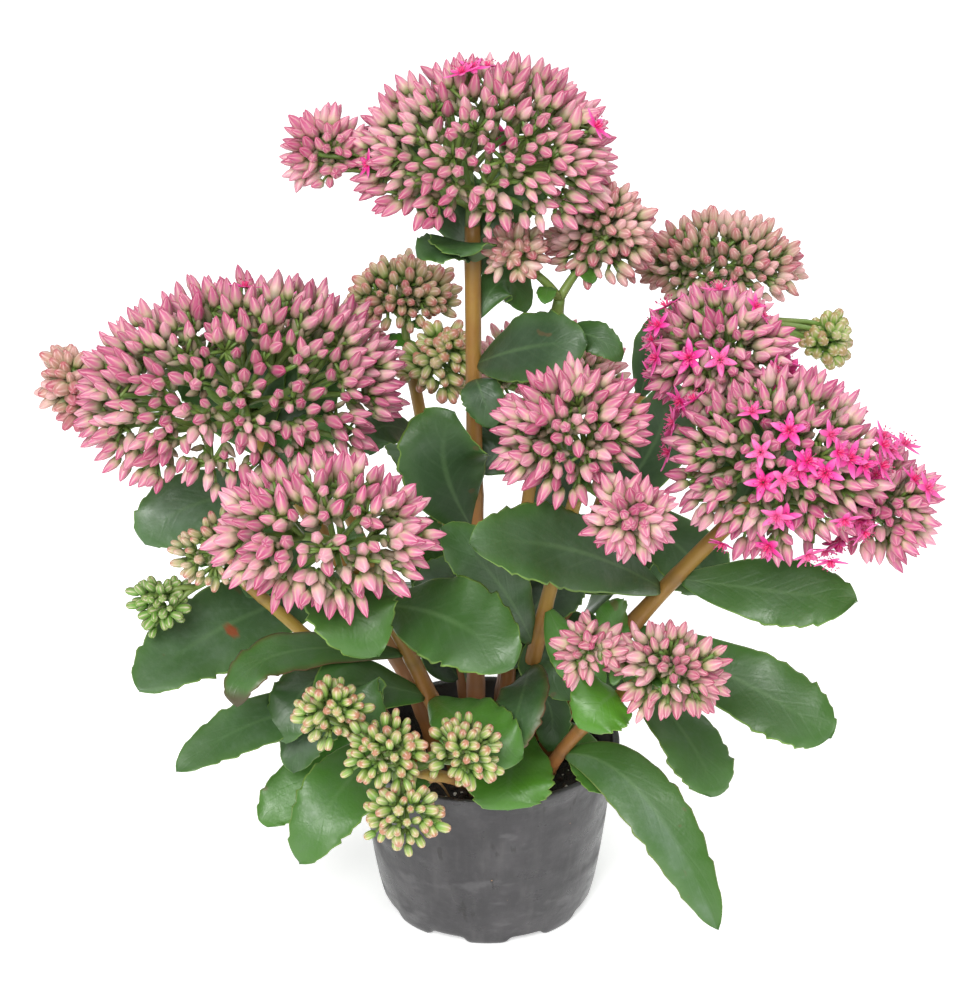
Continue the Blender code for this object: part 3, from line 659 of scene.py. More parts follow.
def blade(leaf, seed, name="", root=None, thickness=LEAF_THICKNESS, grid=LEAF_GRID):
    """A fleshy leaf: an elliptic section carried along an arc from root to tip through its middle, as
    wide as its outline and raised by its relief."""
    draw = np.random.default_rng(seed)
    root = leaf_root(leaf) if root is None else np.asarray(root, float)
    tip = np.array(leaf.tip, float)
    bend = np.array(leaf.middle, float) * 2.0 - (root + tip) / 2.0
    stations, ring = grid
    share = np.linspace(0.0, 1.0, stations)[:, None, None]
    turn = -TURN * np.arange(ring)[None, :, None] / ring
    across = np.cos(turn)
    lift = np.sin(turn)
    spine = (1 - share) ** 2 * root + 2 * share * (1 - share) * bend + share**2 * tip
    growth = unit(2 * (1 - share) * (bend - root) + 2 * share * (tip - bend))
    side = unit(np.cross(growth, np.array(leaf.face, float)))
    up = np.cross(side, growth)
    teeth = FEWEST_TEETH + MORE_TEETH * draw.random()
    phases = np.where(across > 0, TURN * draw.random(), TURN * draw.random())
    half = leaf_outline(share, across, teeth, phases) * leaf.width / 2.0
    offset = leaf_relief(share, across, lift, half, leaf.width, thickness, draw)
    points = (spine + side * across * half + up * offset).reshape(-1, 3)
    points = np.concatenate([points, [root, tip]])
    every = np.append(np.tile(across.ravel(), stations), [0.0, 0.0])
    along = np.append(np.repeat(share.ravel(), ring), [0.0, 1.0])
    under = np.append(np.tile(lift.ravel() < -0.05, stations), [0.0, 0.0])
    return points, *tube_faces(stations, ring), leaf_marks(leaf, name, every, along, under, draw)


def stalk(stem, seed):
    """A fleshy stem: a round section carried up its route, a little swollen at knots spaced up it."""
    draw = np.random.default_rng(seed)
    shares = np.linspace(-STEM_SINK, 1.0, STEM_RINGS)
    path = stem_points(stem, shares)
    growth = unit(np.gradient(path, axis=0))
    side, up = frames_along(growth, (0.0, 1.0, 0.0))
    knots = np.arange(KNOTS) / KNOTS + 0.1 + 0.05 * draw.random(KNOTS)
    swell = np.exp(-(((shares[:, None] - knots[None]) / KNOT_WIDTH) ** 2)).sum(1)
    radii = stem_radius(stem, np.clip(shares, 0, 1)) * (0.97 + KNOT_SWELL * swell)
    turn = TURN * np.arange(STEM_SIDES)[None, :, None] / STEM_SIDES
    ring = side[:, None] * np.cos(turn) + up[:, None] * np.sin(turn)
    oval = 1.0 + STEM_OVAL * np.cos(turn[..., 0] * 2.0 + shares[:, None] * 14.0)
    points = (path[:, None] + ring * (radii[:, None] * oval)[..., None]).reshape(-1, 3)
    points = np.concatenate([points, path[:1], path[-1:] + growth[-1:] * 0.6])
    quads, triangles = tube_faces(STEM_RINGS, STEM_SIDES)
    rise = np.append(np.repeat(shares, STEM_SIDES), [0.0, 1.0])
    knot = np.append(np.repeat(swell, STEM_SIDES), [0.0, 0.0])
    return points, quads, triangles, {"rise": rise, "knot": knot, "shade": draw.random()}


def rods(starts, ends, radii, sides, rings, bow, shade):
    """Thin stalks: each is a round section carried on an arc that leaves its start bowed upwards. The
    section's radius runs evenly between the two that are given."""
    share = np.linspace(0.0, 1.0, rings)[None, :, None]
    span = ends - starts
    length = np.linalg.norm(span, axis=1)[:, None, None]
    lift = np.array([0.0, 0.0, 1.0]) * bow * length * np.sin(np.pi * share)
    path = starts[:, None] + span[:, None] * share + lift
    side, up = frames_along(span)
    turn = TURN * np.arange(sides)[None, None, :, None] / sides
    ring = side[:, None, None] * np.cos(turn) + up[:, None, None] * np.sin(turn)
    reach = (radii[0] + (radii[1] - radii[0]) * share)[..., None]
    body = (path[:, :, None] + ring * reach).reshape(len(starts), -1, 3)
    points = np.concatenate([body, path[:, :1], path[:, -1:]], 1)
    points, quads, triangles = copies(points, *tube_faces(rings, sides))
    size = rings * sides + 2
    rise = np.tile(np.append(np.repeat(np.linspace(0, 1, rings), sides), [0.0, 1.0]), len(starts))
    return points, quads, triangles, {"rise": rise, "knot": 0.0, "shade": np.repeat(shade, size)}


def spindle(heights, radii, sides):
    """A closed shape one unit long that stands on the origin: a ring of points at each height, and a
    pole at each end. Where it has ten sides, every second one is a little ridged."""
    heights, radii = np.array(heights), np.array(radii)
    angles = TURN * np.arange(sides) / sides
    ridge = np.arange(sides) * 10 // sides % 2
    relief = 0.84 + 0.20 * ridge[None] * np.clip(1.3 - heights[:, None], 0.0, 1.0)
    reach = radii[:, None] * relief
    ring = np.stack([np.cos(angles), np.sin(angles)], -1)
    level = np.broadcast_to(heights[:, None, None], (len(heights), sides, 1))
    points = np.concatenate([ring[None] * reach[..., None], level], -1).reshape(-1, 3)
    points = np.concatenate([points, [[0, 0, -0.02], [0, 0, 1.0]]])
    marks = {
        "along": np.append(np.repeat(heights, sides), [0.0, 1.0]),
        "ridge": np.append(np.tile(ridge, len(heights)), [0.0, 1.0]),
    }
    return points, tube_faces(len(heights), sides), marks


def bud_template(blunt):
    """A closed bud: five-angled, narrow at its foot, widest below its middle and drawn to a point,
    or to a round end by as much as it is blunt."""
    sharp = np.array([0.42, 0.84, 1.0, 0.66, 0.22])
    rounded = np.array([0.46, 0.92, 1.1, 1.1, 0.72])
    return spindle([0.0, 0.14, 0.42, 0.74, 0.93], sharp + (rounded - sharp) * blunt, 10)


def inner_template():
    """A plain bud for the layer below the outer one."""
    return spindle([0.0, 0.25, 0.6, 0.9], [0.45, 1.05, 0.95, 0.35], 5)


def knob_template():
    """A small round knob."""
    return spindle([0.1, 0.5, 0.9], [0.6, 1.05, 0.6], 5)


def place(template, spots, directions, lengths, widths, spins):
    """Copies a template that stands on the origin along +Z to each spot, turned, spun and sized."""
    side, up = frames_along(directions, (0.31, 0.17, 0.93))
    cos, sin = np.cos(spins)[:, None], np.sin(spins)[:, None]
    first = (side * cos + up * sin) * widths[:, None]
    second = (up * cos - side * sin) * widths[:, None]
    third = unit(directions) * lengths[:, None]
    basis = np.stack([first, second, third], 1)
    return spots[:, None] + np.einsum("vk,nkd->nvd", template, basis)


def spun(points, angles):
    """Copies points, turned about Z by each angle."""
    cos, sin = np.cos(angles), np.sin(angles)
    zero, one = np.zeros_like(cos), np.ones_like(cos)
    rows = [[cos, -sin, zero], [sin, cos, zero], [zero, zero, one]]
    turns = np.array(rows).transpose(2, 0, 1)
    return np.einsum("nij,vj->nvi", turns, points)


def star_petals(angles):
    """Five pointed, keeled petals that spread and rise a little: a thin section carried outwards."""
    stations, ring = 7, 6
    share = np.linspace(0.0, 1.0, stations)[:, None]
    turn = TURN * np.arange(ring)[None] / ring
    half = 0.06 + 0.17 * np.sin(np.pi * share**0.75) ** 0.8 * (1.0 - 0.2 * share)
    half = half * np.clip((1.0 - share) * 6.0, 0.06, 1.0)
    x = 0.06 + 0.94 * share + 0 * turn
    y = half * np.cos(turn)
    z = 0.05 + 0.16 * share**1.5 + 0.035 * np.sin(turn) + 0.35 * np.abs(y) * (1 - share)
    petal = np.stack([x, y, z], -1).reshape(-1, 3)
    petal = np.concatenate([petal, [[0.04, 0, 0.04], [1.02, 0, 0.22]]])
    points, quads, triangles = copies(spun(petal, angles), *tube_faces(stations, ring))
    along = np.tile(np.append(np.repeat(share[:, 0], ring), [0.0, 1.0]), len(angles))
    return points, quads, triangles, {"along": along, "part": 0.0}


def star_carpels(angles):
    """Five pointed carpels that lean out from the middle."""
    knob, faces, marks = knob_template()
    carpel = knob * np.array([0.07, 0.07, 0.42]) + np.array([0.0, 0.0, 0.02])
    carpel[:, 0] += 0.06 + 0.25 * carpel[:, 2]
    points, quads, triangles = copies(spun(carpel, angles + 0.6), *faces)
    return points, quads, triangles, {"along": np.tile(marks["along"], len(angles)), "part": 0.5}


def star_stamens(angles, reach, height):
    """Five stamens: thin rods that lean out, and a round head on each."""
    knob, faces, _ = knob_template()
    heads = np.stack([np.cos(angles), np.sin(angles), np.zeros(len(angles))], -1)
    roots = heads * 0.08 + np.array([0, 0, 0.06])
    ends = heads * reach + np.array([0, 0, height])
    thin = rods(roots, ends, (0.014, 0.012), 3, 3, 0.05, np.zeros(len(angles)))
    sizes = np.full(len(angles), 0.11)
    tops = place(knob, ends, heads + [0, 0, 1.0], sizes, sizes * 0.45, angles - angles[0])
    tips = copies(tops, *faces)
    return [(*thin[:3], {"along": 0.5, "part": 0.7}), (*tips, {"along": 0.5, "part": 1.0})]


def star_template():
    """An open flower one unit in radius: petals, carpels, and two rings of stamens."""
    angles = TURN * np.arange(5) / 5
    stamens = star_stamens(angles, 0.42, 0.42) + star_stamens(angles + TURN / 10, 0.34, 0.5)
    return merge([star_petals(angles), star_carpels(angles), *stamens])


def spread(candidates, spacing):
    """Picks candidates in their order, each at least the spacing from every one picked before it."""
    picked = np.empty((0, 3))
    rows = []
    for row, spot in enumerate(candidates):
        if len(picked) == 0 or ((picked - spot) ** 2).sum(1).min() > spacing**2:
            picked = np.concatenate([picked, spot[None]])
            rows.append(row)
    return np.array(rows, int)


def dome_axes(dome):
    """A dome's own axes as rows: across, across and out, as the solid's are."""
    out = unit(dome.axis)
    side, up = frames_along(out[None], (0.0, 1.0, 0.0))
    return np.stack([side[0], up[0], out])


def dome_spots(dome, draw):
    """Random spots over a dome, thinned out where its surface is drawn in, and their outward normals."""
    radii = np.array(dome.radii, float) + TIP_STAND
    sphere = unit(draw.normal(size=(SPOTS_TRIED, 3)))
    sphere = sphere[sphere[:, 2] > LOWEST_TIP]
    surface = sphere * radii
    stretch = np.linalg.norm(surface, axis=1) / radii.max()
    surface = surface[draw.random(len(surface)) < np.clip(stretch + 0.2, 0.0, 1.0)]
    return surface, unit(surface / radii**2)


def dome_layers(dome, look, draw):
    """The tips of a dome's outer and inner buds, each with its outward normal, its cyme and its size.
    Outer tips sink by the square of their distance from their cyme's centre, inner tips by a set depth."""
    surface, normals = dome_spots(dome, draw)
    hearts = spread(surface, max(NARROWEST_CYME, look.spacing * KNOT_SPACING))
    outer = spread(surface, look.spacing)
    inner = np.zeros(0, int)
    if min(dome.radii) > INNER_DEPTH * 1.4:
        inner = spread(surface[::-1], look.spacing * INNER_SPACING)
        inner = len(surface) - 1 - inner
    rows = np.concatenate([outer, inner])
    gaps = np.linalg.norm(surface[rows, None] - surface[None, hearts], axis=2)
    cyme = gaps.argmin(1)
    sunk = CYME_SINK * np.minimum(gaps.min(1), CYME_REACH) ** 2
    sunk = sunk + draw.uniform(0.0, TIP_LOOSE, len(rows))
    size = draw.uniform(*BUD_SIZES, len(rows))
    deep = np.arange(len(rows)) >= len(outer)
    sunk[deep] += INNER_DEPTH
    size[deep] *= INNER_SIZE
    axes = dome_axes(dome)
    middle = np.array(dome.centre, float)
    tips = middle + (surface[rows] - normals[rows] * sunk[:, None]) @ axes
    depth = min(KNOT_DEPTH, min(dome.radii) * 0.85)
    knots = middle + (surface[hearts] - normals[hearts] * depth) @ axes
    return tips, normals[rows] @ axes, knots, cyme, size, deep


def branching(hub, knots, shade):
    """Flower stalks from the hub to each knot: neighbouring knots share a thicker branch part of the
    way, which forks at a node of its own."""
    groups = spread(knots, FORK_SPACING)
    owner = np.linalg.norm(knots[:, None] - knots[None, groups], axis=2).argmin(1)
    forks = np.array([knots[owner == group].mean(0) for group in range(len(groups))])
    forks = hub + (forks - hub) * 0.5
    hubs = np.broadcast_to(hub, forks.shape)
    thick = rods(hubs, forks, BRANCH_RADII, 8, 5, 0.05, shade[: len(forks)])
    thin = rods(forks[owner], knots, TWIG_RADII, 6, 4, 0.06, shade)
    return [thick, thin]


def bracts(hub, dome, draw, tint):
    """Small leaves that hang and spread below a dome: one, or two where the dome is wide."""
    meshes = []
    middle = np.array(dome.centre, float)
    for side in draw.permutation(3)[: 1 + int(dome.radii[0] > 14)]:
        start = hub + (middle - hub) * draw.uniform(0.15, 0.55)
        angle = TURN * (side + draw.random() * 0.6) / 3.0
        out = np.array([math.cos(angle), math.sin(angle), draw.uniform(-0.5, 0.35)])
        long = draw.uniform(*BRACT_LENGTHS)
        bend = start + out * long * 0.5 + np.array([0.0, 0.0, 1.5])
        leaf = Leaf("", 0, bend, start + out * long, long * draw.uniform(*BRACT_WIDTHS), UP, tint)
        meshes.append(blade(leaf, int(draw.integers(1000)), "", start, BRACT_THICKNESS, BRACT_GRID))
    return meshes


def closed_buds(feet, aims, length, width, shade, deep, peach):
    """The closed buds of a dome: full ones in its outer layer and plain ones below them."""
    meshes = []
    for layer, template in ((~deep, bud_template(min(peach, 1.0))), (deep, inner_template())):
        points, faces, marks = template
        spots = place(points, feet[layer], aims[layer], length[layer], width[layer], shade[layer] * 40.0)
        many, quads, triangles = copies(spots, *faces)
        own = {name: np.tile(values, layer.sum()) for name, values in marks.items()}
        own["shade"] = np.repeat(shade[layer], len(points))
        own["deep"] = np.repeat(deep[layer], len(points)).astype(float)
        own["peach"] = peach
        meshes.append((many, quads, triangles, own))
    return merge(meshes)


def open_flowers(star, tips, normals, draw):
    """Open star flowers at tips, each facing outward but for a little."""
    count = len(tips)
    radius = draw.uniform(*STAR_RADII, count)
    face = unit(normals + draw.normal(0.0, STAR_LOOSENESS, (count, 3)))
    spots = place(star[0], tips - face * STAR_SINK, face, radius, radius, draw.random(count) * TURN)
    points, quads, triangles = copies(spots, star[1], star[2])
    marks = {name: np.tile(values, count) for name, values in star[3].items()}
    marks["shade"] = np.repeat(draw.random(count), len(star[0]))
    return points, quads, triangles, marks


def cluster(hub, dome, look, star, draw):
    """One dome of a flower head: its closed buds, open stars, stalks and small leaves. Branches run
    from the hub to each cyme's knot, and a thin stalk from the knot to each bud. Stars open in
    patches, by how ripe a cyme is."""
    young = min(look.peach, 1.0)
    tips, normals, knots, cyme, size, deep = dome_layers(dome, look, draw)
    count = len(tips)
    outward = unit(tips - knots[cyme])
    loose = draw.normal(0.0, BUD_LOOSENESS, (count, 3))
    aims = unit(normals * AIM_OUT + outward * AIM_FANNED + loose)
    length = look.bud * size
    width = length * draw.uniform(*BUD_RADII, count) * (1.0 + YOUNG_PLUMPNESS * young)
    feet = tips - aims * length[:, None]
    tone = draw.random(len(knots))
    ripe = draw.random(len(knots)) ** RIPE_POWER * RIPE_MOST
    shade = OWN_SHADE * draw.random(count) + (1.0 - OWN_SHADE) * tone[cyme]
    open_now = (draw.random(count) < look.stars * ripe[cyme]) & ~deep
    shut = ~open_now
    parts = (feet[shut], aims[shut], length[shut], width[shut], shade[shut], deep[shut])
    buds = closed_buds(*parts, look.peach)
    stars = [open_flowers(star, tips[open_now], normals[open_now], draw)] if open_now.any() else []
    stalks = [rods(knots[cyme], feet + aims * 0.5, PEDICEL_RADII, 4, 2, 0.0, shade * 0.5)]
    stalks += branching(hub, knots, draw.random(len(knots)) * 0.5 + 0.3)
    return buds, stars, stalks, bracts(hub, dome, draw, 0.45 + 0.4 * young)


def flower_head(name, domes, look, seed):
    """A flower head's buds, open stars, stalks and small leaves: a neck that carries on its stem, and
    the clusters of its domes, which meet at the neck's end."""
    draw = np.random.default_rng(seed)
    stem = STEMS[name]
    growth = stem_growth(stem, 1.0)
    hub = stem_points(stem, 1.0)[0] + growth * (CLEARANCE + NECK_LENGTH)
    neck = hub - growth * (NECK_LENGTH + 0.6)
    thick = stem_radius(stem, 1.0)
    stalks = [rods(neck[None], hub[None], (thick, thick * 0.8), 10, 5, 0.0, np.array([0.5]))]
    buds, stars, leaves = [], [], []
    star = star_template()
    for number, dome in enumerate(domes):
        own_look = look._replace(peach=YOUNG.get((name, number), look.peach))
        shut, opened, rays, small = cluster(hub, dome, own_look, star, draw)
        buds.append(shut)
        stars += opened
        stalks += rays
        leaves += small
    return buds, stars, stalks, leaves


def soil_surface(seed):
    """Loose soil: a disc whose height is a sum of waves and a random roughness, with a skirt down
    inside the pot."""
    draw = np.random.default_rng(seed)
    radius = SOIL_RADIUS * np.linspace(0.02, 1.0, SOIL_RINGS)[:, None] ** 0.8
    angle = -TURN * np.arange(SOIL_SIDES)[None] / SOIL_SIDES
    x, y = radius * np.cos(angle), radius * np.sin(angle)
    height = np.zeros_like(x)
    for scale, depth in SOIL_WAVES:
        heading, phase = draw.random(2) * TURN
        across = x * math.cos(heading) + y * math.sin(heading)
        beside = y * math.cos(heading) - x * math.sin(heading)
        height += depth * np.sin(across * scale + phase) * np.cos(beside * scale * 1.3 + phase)
    height += draw.normal(0.0, SOIL_ROUGHNESS, x.shape)
    surface, foot = SOIL_TOP - SOIL_SINK, SOIL_TOP - SOIL_SKIRT
    top = np.stack([x, y, surface + height], -1)
    skirt = np.stack([x[-1] * 0.99, y[-1] * 0.99, np.full(SOIL_SIDES, foot)], -1)
    points = np.concatenate([top.reshape(-1, 3), skirt, [[0, 0, surface], [0, 0, foot]]])
    return points, *tube_faces(SOIL_RINGS + 1, SOIL_SIDES), {"grain": 0.0}


def soil_grains(count, low, high, kind, seed):
    """Grains on the soil: small closed knobs, each a squashed and turned copy of one rough shape."""
    draw = np.random.default_rng(seed)
    knob, faces, _ = knob_template()
    rough = knob * (1.0 + draw.normal(0.0, GRAIN_ROUGHNESS, (len(knob), 1)))
    angle = draw.random(count) * TURN
    reach = (SOIL_RADIUS - GRAIN_MARGIN) * np.sqrt(draw.random(count))
    level = np.full(count, SOIL_TOP - GRAIN_SINK)
    spots = np.stack([reach * np.cos(angle), reach * np.sin(angle), level], -1)
    spots[:, 2] += draw.uniform(*GRAIN_HEIGHTS, count)
    size = draw.uniform(low, high, count)
    turns = unit(draw.normal(size=(count, 3)))
    grains = place(rough, spots - turns * size[:, None] * 0.5, turns, size, size * 0.5, angle)
    return *copies(grains, *faces), {"grain": kind}


def twig():
    """A dry twig that lies from the soil over the pot's rim at the front left."""
    start, end = np.array([TWIG_START]), np.array([TWIG_END])
    points, quads, triangles, _ = rods(start, end, (0.7, 0.5), 6, 12, 0.6, np.zeros(1))
    return points, quads, triangles, {"grain": TWIG_KIND}


def wall_radius(height):
    """The pot's outer radius: a straight taper that draws in roundly towards the base."""
    body = POT_RIM_RADIUS - POT_RIM_LIP
    taper = (body - POT_BASE_RADIUS) * height / POT_HEIGHT
    return POT_BASE_RADIUS + taper - POT_DRAW_IN * np.exp(-height / POT_DRAW_HEIGHT)


def pot_profile():
    """The pot's profile as (radius, height), and how many of its points come before the outer wall: up
    the inside from a fill that the soil hides, round the rim, down the wall and in below the foot."""
    low = POT_HEIGHT - RIM_BAND
    middle = POT_RIM_RADIUS - POT_RIM_LIP
    inside = [(wall_radius(height) - POT_WALL, height) for height in (POT_FILL, POT_FILL * 1.5)]
    rim = [(middle - POT_WALL, POT_HEIGHT - 1.2), (middle - POT_WALL * 0.6, POT_HEIGHT - 0.2)]
    rim += [(middle, POT_HEIGHT), (POT_RIM_RADIUS - 0.25, POT_HEIGHT - 0.15)]
    rim += [(POT_RIM_RADIUS, POT_HEIGHT - 0.7), (POT_RIM_RADIUS - 0.15, POT_HEIGHT - 2.2)]
    rim += [(wall_radius(low) + 0.35, low + 0.8), (wall_radius(low) + 0.05, low)]
    wall = [(wall_radius(height), height) for height in np.linspace(low - 3.0, 2.6, 24)]
    foot = [(wall_radius(1.4) - 0.1, 1.4), (wall_radius(0.6) - 0.4, 0.5), (FOOT_RADIUS, 0.0)]
    under = [(34.0, 0.0), (33.0, 0.4), (20.0, 0.6), (2.0, 0.6)]
    upper = [(2.0, POT_FILL), *inside, *rim]
    return np.array(upper + wall + foot + under), len(upper)


def pot_surface():
    """A thin turned pot. Its foot rises and falls round the base as low feet and notches, and its wall
    waves by a hair."""
    profile, first = pot_profile()
    angle = -TURN * np.arange(POT_SIDES)[None] / POT_SIDES
    radius, height = profile[:, :1], profile[:, 1:]
    outer = (np.arange(len(profile)) >= first)[:, None]
    waver = POT_WAVER[0] * np.sin(angle * 3.0 + 0.4) + POT_WAVER[1] * np.sin(angle * 5.0 + height * 0.11)
    radius = radius - outer * (radius > 33.0) * np.abs(waver) * 0.8
    notch = 0.5 + 0.5 * np.tanh(5.0 * (-np.cos(angle * FOOT_NOTCHES) - 0.1))
    near = np.clip(1.0 - height / FOOT_RISE, 0.0, 1.0) * (radius > 33.5)
    height = height + NOTCH_DEPTH * notch * near
    points = np.stack([radius * np.cos(angle), radius * np.sin(angle), height + 0 * angle], -1)
    points = np.concatenate([points.reshape(-1, 3), [[0, 0, POT_FILL], [0, 0, 0.6]]])
    # Where the notches lift the foot off the floor: the material paints shade there
    drop = np.append((notch * near + 0 * height).ravel(), [0.0, 0.0])
    return points, *tube_faces(len(profile), POT_SIDES), {"drop": drop}


def new_material(name, roughness):
    """A material with a Principled shader, and its node tree and shader."""
    material = bpy.data.materials.new(name)
    material.use_nodes = True
    shader = material.node_tree.nodes["Principled BSDF"]
    shader.inputs["Roughness"].default_value = roughness
    return material, material.node_tree, shader


def feed(tree, socket, value):
    """Links a socket to another one, or sets it to a colour or a number."""
    if isinstance(value, bpy.types.NodeSocket):
        tree.links.new(value, socket)
    elif isinstance(value, tuple):
        socket.default_value = (*value, 1.0)
    else:
        socket.default_value = value


def mark(tree, name):
    """The value that a mesh's attribute has."""
    node = tree.nodes.new("ShaderNodeAttribute")
    node.attribute_name = name
    return node.outputs["Fac"]


def mix(tree, share, first, second):
    """A colour between two colours."""
    node = tree.nodes.new("ShaderNodeMix")
    node.data_type = "RGBA"
    feed(tree, node.inputs[0], share)
    feed(tree, node.inputs[6], first)
    feed(tree, node.inputs[7], second)
    return node.outputs[2]


def combined(tree, operation, first, second):
    """A math node's result."""
    node = tree.nodes.new("ShaderNodeMath")
    node.operation = operation
    feed(tree, node.inputs[0], first)
    feed(tree, node.inputs[1], second)
    return node.outputs[0]


def times(tree, first, second):
    """The product of two values."""
    return combined(tree, "MULTIPLY", first, second)


def over(tree, skin, share, strength, colour):
    """A skin turned towards a colour by the product of a share and a strength."""
    return mix(tree, times(tree, share, strength), skin, colour)


def ramp(tree, value, low, high, first=0.0, last=1.0):
    """A value carried smoothly from first at low to last at high."""
    node = tree.nodes.new("ShaderNodeMapRange")
    node.interpolation_type = "SMOOTHSTEP"
    feed(tree, node.inputs["Value"], value)
    settings = {"From Min": low, "From Max": high, "To Min": first, "To Max": last}
    for name, setting in settings.items():
        node.inputs[name].default_value = setting
    return node.outputs["Result"]


def colours(tree, value, stops):
    """A colour read along a band of (place, colour) stops."""
    node = tree.nodes.new("ShaderNodeValToRGB")
    band = node.color_ramp
    while len(band.elements) < len(stops):
        band.elements.new(0.5)
    for element, (spot, colour) in zip(band.elements, stops):
        element.position = spot
        element.color = (*colour, 1.0)
    feed(tree, node.inputs["Fac"], value)
    return node.outputs["Color"]


def noise(tree, scale, detail=4.0, rise=1.0):
    """Noise on object coordinates: a scale in cycles a metre, which rise multiplies along Z."""
    spot = tree.nodes.new("ShaderNodeTexCoord").outputs["Object"]
    if rise != 1.0:
        mapping = tree.nodes.new("ShaderNodeMapping")
        mapping.inputs["Scale"].default_value = (1.0, 1.0, rise)
        tree.links.new(spot, mapping.inputs["Vector"])
        spot = mapping.outputs["Vector"]
    node = tree.nodes.new("ShaderNodeTexNoise")
    node.inputs["Scale"].default_value = scale
    node.inputs["Detail"].default_value = detail
    tree.links.new(spot, node.inputs["Vector"])
    return node.outputs["Fac"]


def dress(tree, shader, skin, height, depth, strength):
    """A shader's colour, and its relief from a height of zero to one, as deep as depth in metres."""
    tree.links.new(skin, shader.inputs["Base Color"])
    node = tree.nodes.new("ShaderNodeBump")
    node.inputs["Strength"].default_value = strength
    node.inputs["Distance"].default_value = depth
    feed(tree, node.inputs["Height"], height)
    tree.links.new(node.outputs["Normal"], shader.inputs["Normal"])


def mottle_group():
    """A node group: a colour mottled with a second one by two sizes of noise on object coordinates."""
    tree = bpy.data.node_groups.new("mottle", "ShaderNodeTree")
    kinds = {"Ground": "NodeSocketColor", "Fleck": "NodeSocketColor", "Amount": "NodeSocketFloat"}
    for name, kind in kinds.items():
        tree.interface.new_socket(name, in_out="INPUT", socket_type=kind)
    tree.interface.new_socket("Colour", in_out="OUTPUT", socket_type="NodeSocketColor")
    given = tree.nodes.new("NodeGroupInput").outputs
    result = tree.nodes.new("NodeGroupOutput")
    broad = times(tree, ramp(tree, noise(tree, 70.0), 0.42, 0.68), 0.65)
    fine = times(tree, ramp(tree, noise(tree, 420.0), 0.45, 0.75), 0.35)
    both = combined(tree, "ADD", broad, fine)
    colour = over(tree, given["Ground"], both, given["Amount"], given["Fleck"])
    tree.links.new(colour, result.inputs["Colour"])
    return tree


def mottled(tree, group, ground, fleck, amount):
    """A colour mottled with another by the shared group."""
    node = tree.nodes.new("ShaderNodeGroup")
    node.node_tree = group
    feed(tree, node.inputs["Ground"], ground)
    feed(tree, node.inputs["Fleck"], fleck)
    feed(tree, node.inputs["Amount"], amount)
    return node.outputs["Colour"]


def leaf_veins(tree, across, along):
    """Side veins: the crests of a wave along the blade that lags behind away from its rib, faded out
    towards its edge."""
    wave = tree.nodes.new("ShaderNodeTexWave")
    wave.inputs["Scale"].default_value = 1.0
    wave.inputs["Distortion"].default_value = 2.4
    spot = tree.nodes.new("ShaderNodeCombineXYZ")
    slope = combined(tree, "SUBTRACT", times(tree, along, 2.4), times(tree, across, 0.9))
    tree.links.new(slope, spot.inputs["X"])
    tree.links.new(spot.outputs["Vector"], wave.inputs["Vector"])
    crests = ramp(tree, wave.outputs["Fac"], 0.75, 1.0)
    return times(tree, crests, ramp(tree, across, 0.85, 0.15))


def leaf_green(tree, group, across, along):
    """A leaf's skin: dark or young green, mottled with a dusty coat, and brighter towards its margin
    and its tip. On a leaf with painted light on one half, the dust is also that painted light."""
    tint, bloom = mark(tree, "tint"), mark(tree, "bloom")
    green = mix(tree, tint, LEAF_DARK, LEAF_YOUNG)
    haze = times(tree, ramp(tree, bloom, 0.0, 1.0, 0.25, 0.9), ramp(tree, tint, 0.5, 1.0, 1.0, 0.25))
    # Dust and painted light: on a leaf lit on one half, this pale dusty colour covers only that half
    dusty = mix(tree, haze, green, mix(tree, bloom, DUST_THIN, DUST_THICK))
    skin = mottled(tree, group, mix(tree, 0.3, green, dusty), dusty, 0.9)
    beside, beyond = ramp(tree, across, 0.4, 1.0, 0.0, 0.35), ramp(tree, along, 0.6, 1.0, 0.0, 0.25)
    return mix(tree, combined(tree, "ADD", beside, beyond), skin, LEAF_MARGIN)


def leaf_material(group):
    """Fleshy leaf: dusty green with a pale rib, faint side veins, a paler underside, a thin edge that
    is bright or dry and brown, a tip that can be crisp, blemishes, and a scar where it is marked."""
    material, tree, shader = new_material("leaf", 0.45)
    across = combined(tree, "ABSOLUTE", mark(tree, "across"), 0.0)
    along, dry = mark(tree, "along"), mark(tree, "dry")
    skin = leaf_green(tree, group, across, along)
    veins = leaf_veins(tree, across, along)
    skin = over(tree, skin, veins, 0.08, LEAF_VEIN)
    rib = times(tree, ramp(tree, across, 0.10, 0.01), ramp(tree, along, 0.95, 0.35))
    skin = over(tree, skin, rib, 0.35, LEAF_RIB)
    skin = mix(tree, mark(tree, "under"), skin, mix(tree, 0.6, skin, LEAF_UNDERSIDE))
    border = mix(tree, ramp(tree, dry, 0.2, 0.8), EDGE_FRESH, EDGE_DRY)
    skin = over(tree, skin, ramp(tree, across, 0.94, 0.99), 0.75, border)
    skin = over(tree, skin, ramp(tree, across, 0.7, 1.0), ramp(tree, dry, 0.3, 1.0, 0.0, 0.5), SCORCH)
    skin = over(tree, skin, ramp(tree, along, 0.84, 0.96), ramp(tree, dry, 0.5, 1.0, 0.0, 0.9), CRISP_TIP)
    skin = over(tree, skin, ramp(tree, noise(tree, 95.0, 2.0), 0.735, 0.77), 0.5, BLEMISH)
    skin = mix(tree, ramp(tree, mark(tree, "scar"), 0.15, 0.7), skin, LEAF_SCAR)
    rough = ramp(tree, noise(tree, 160.0), 0.3, 0.7, 0.34, 0.54)
    tree.links.new(rough, shader.inputs["Roughness"])
    relief = combined(tree, "SUBTRACT", noise(tree, 700.0, 3.0), times(tree, veins, 0.25))
    dress(tree, shader, skin, relief, 0.0003, 0.4)
    return material


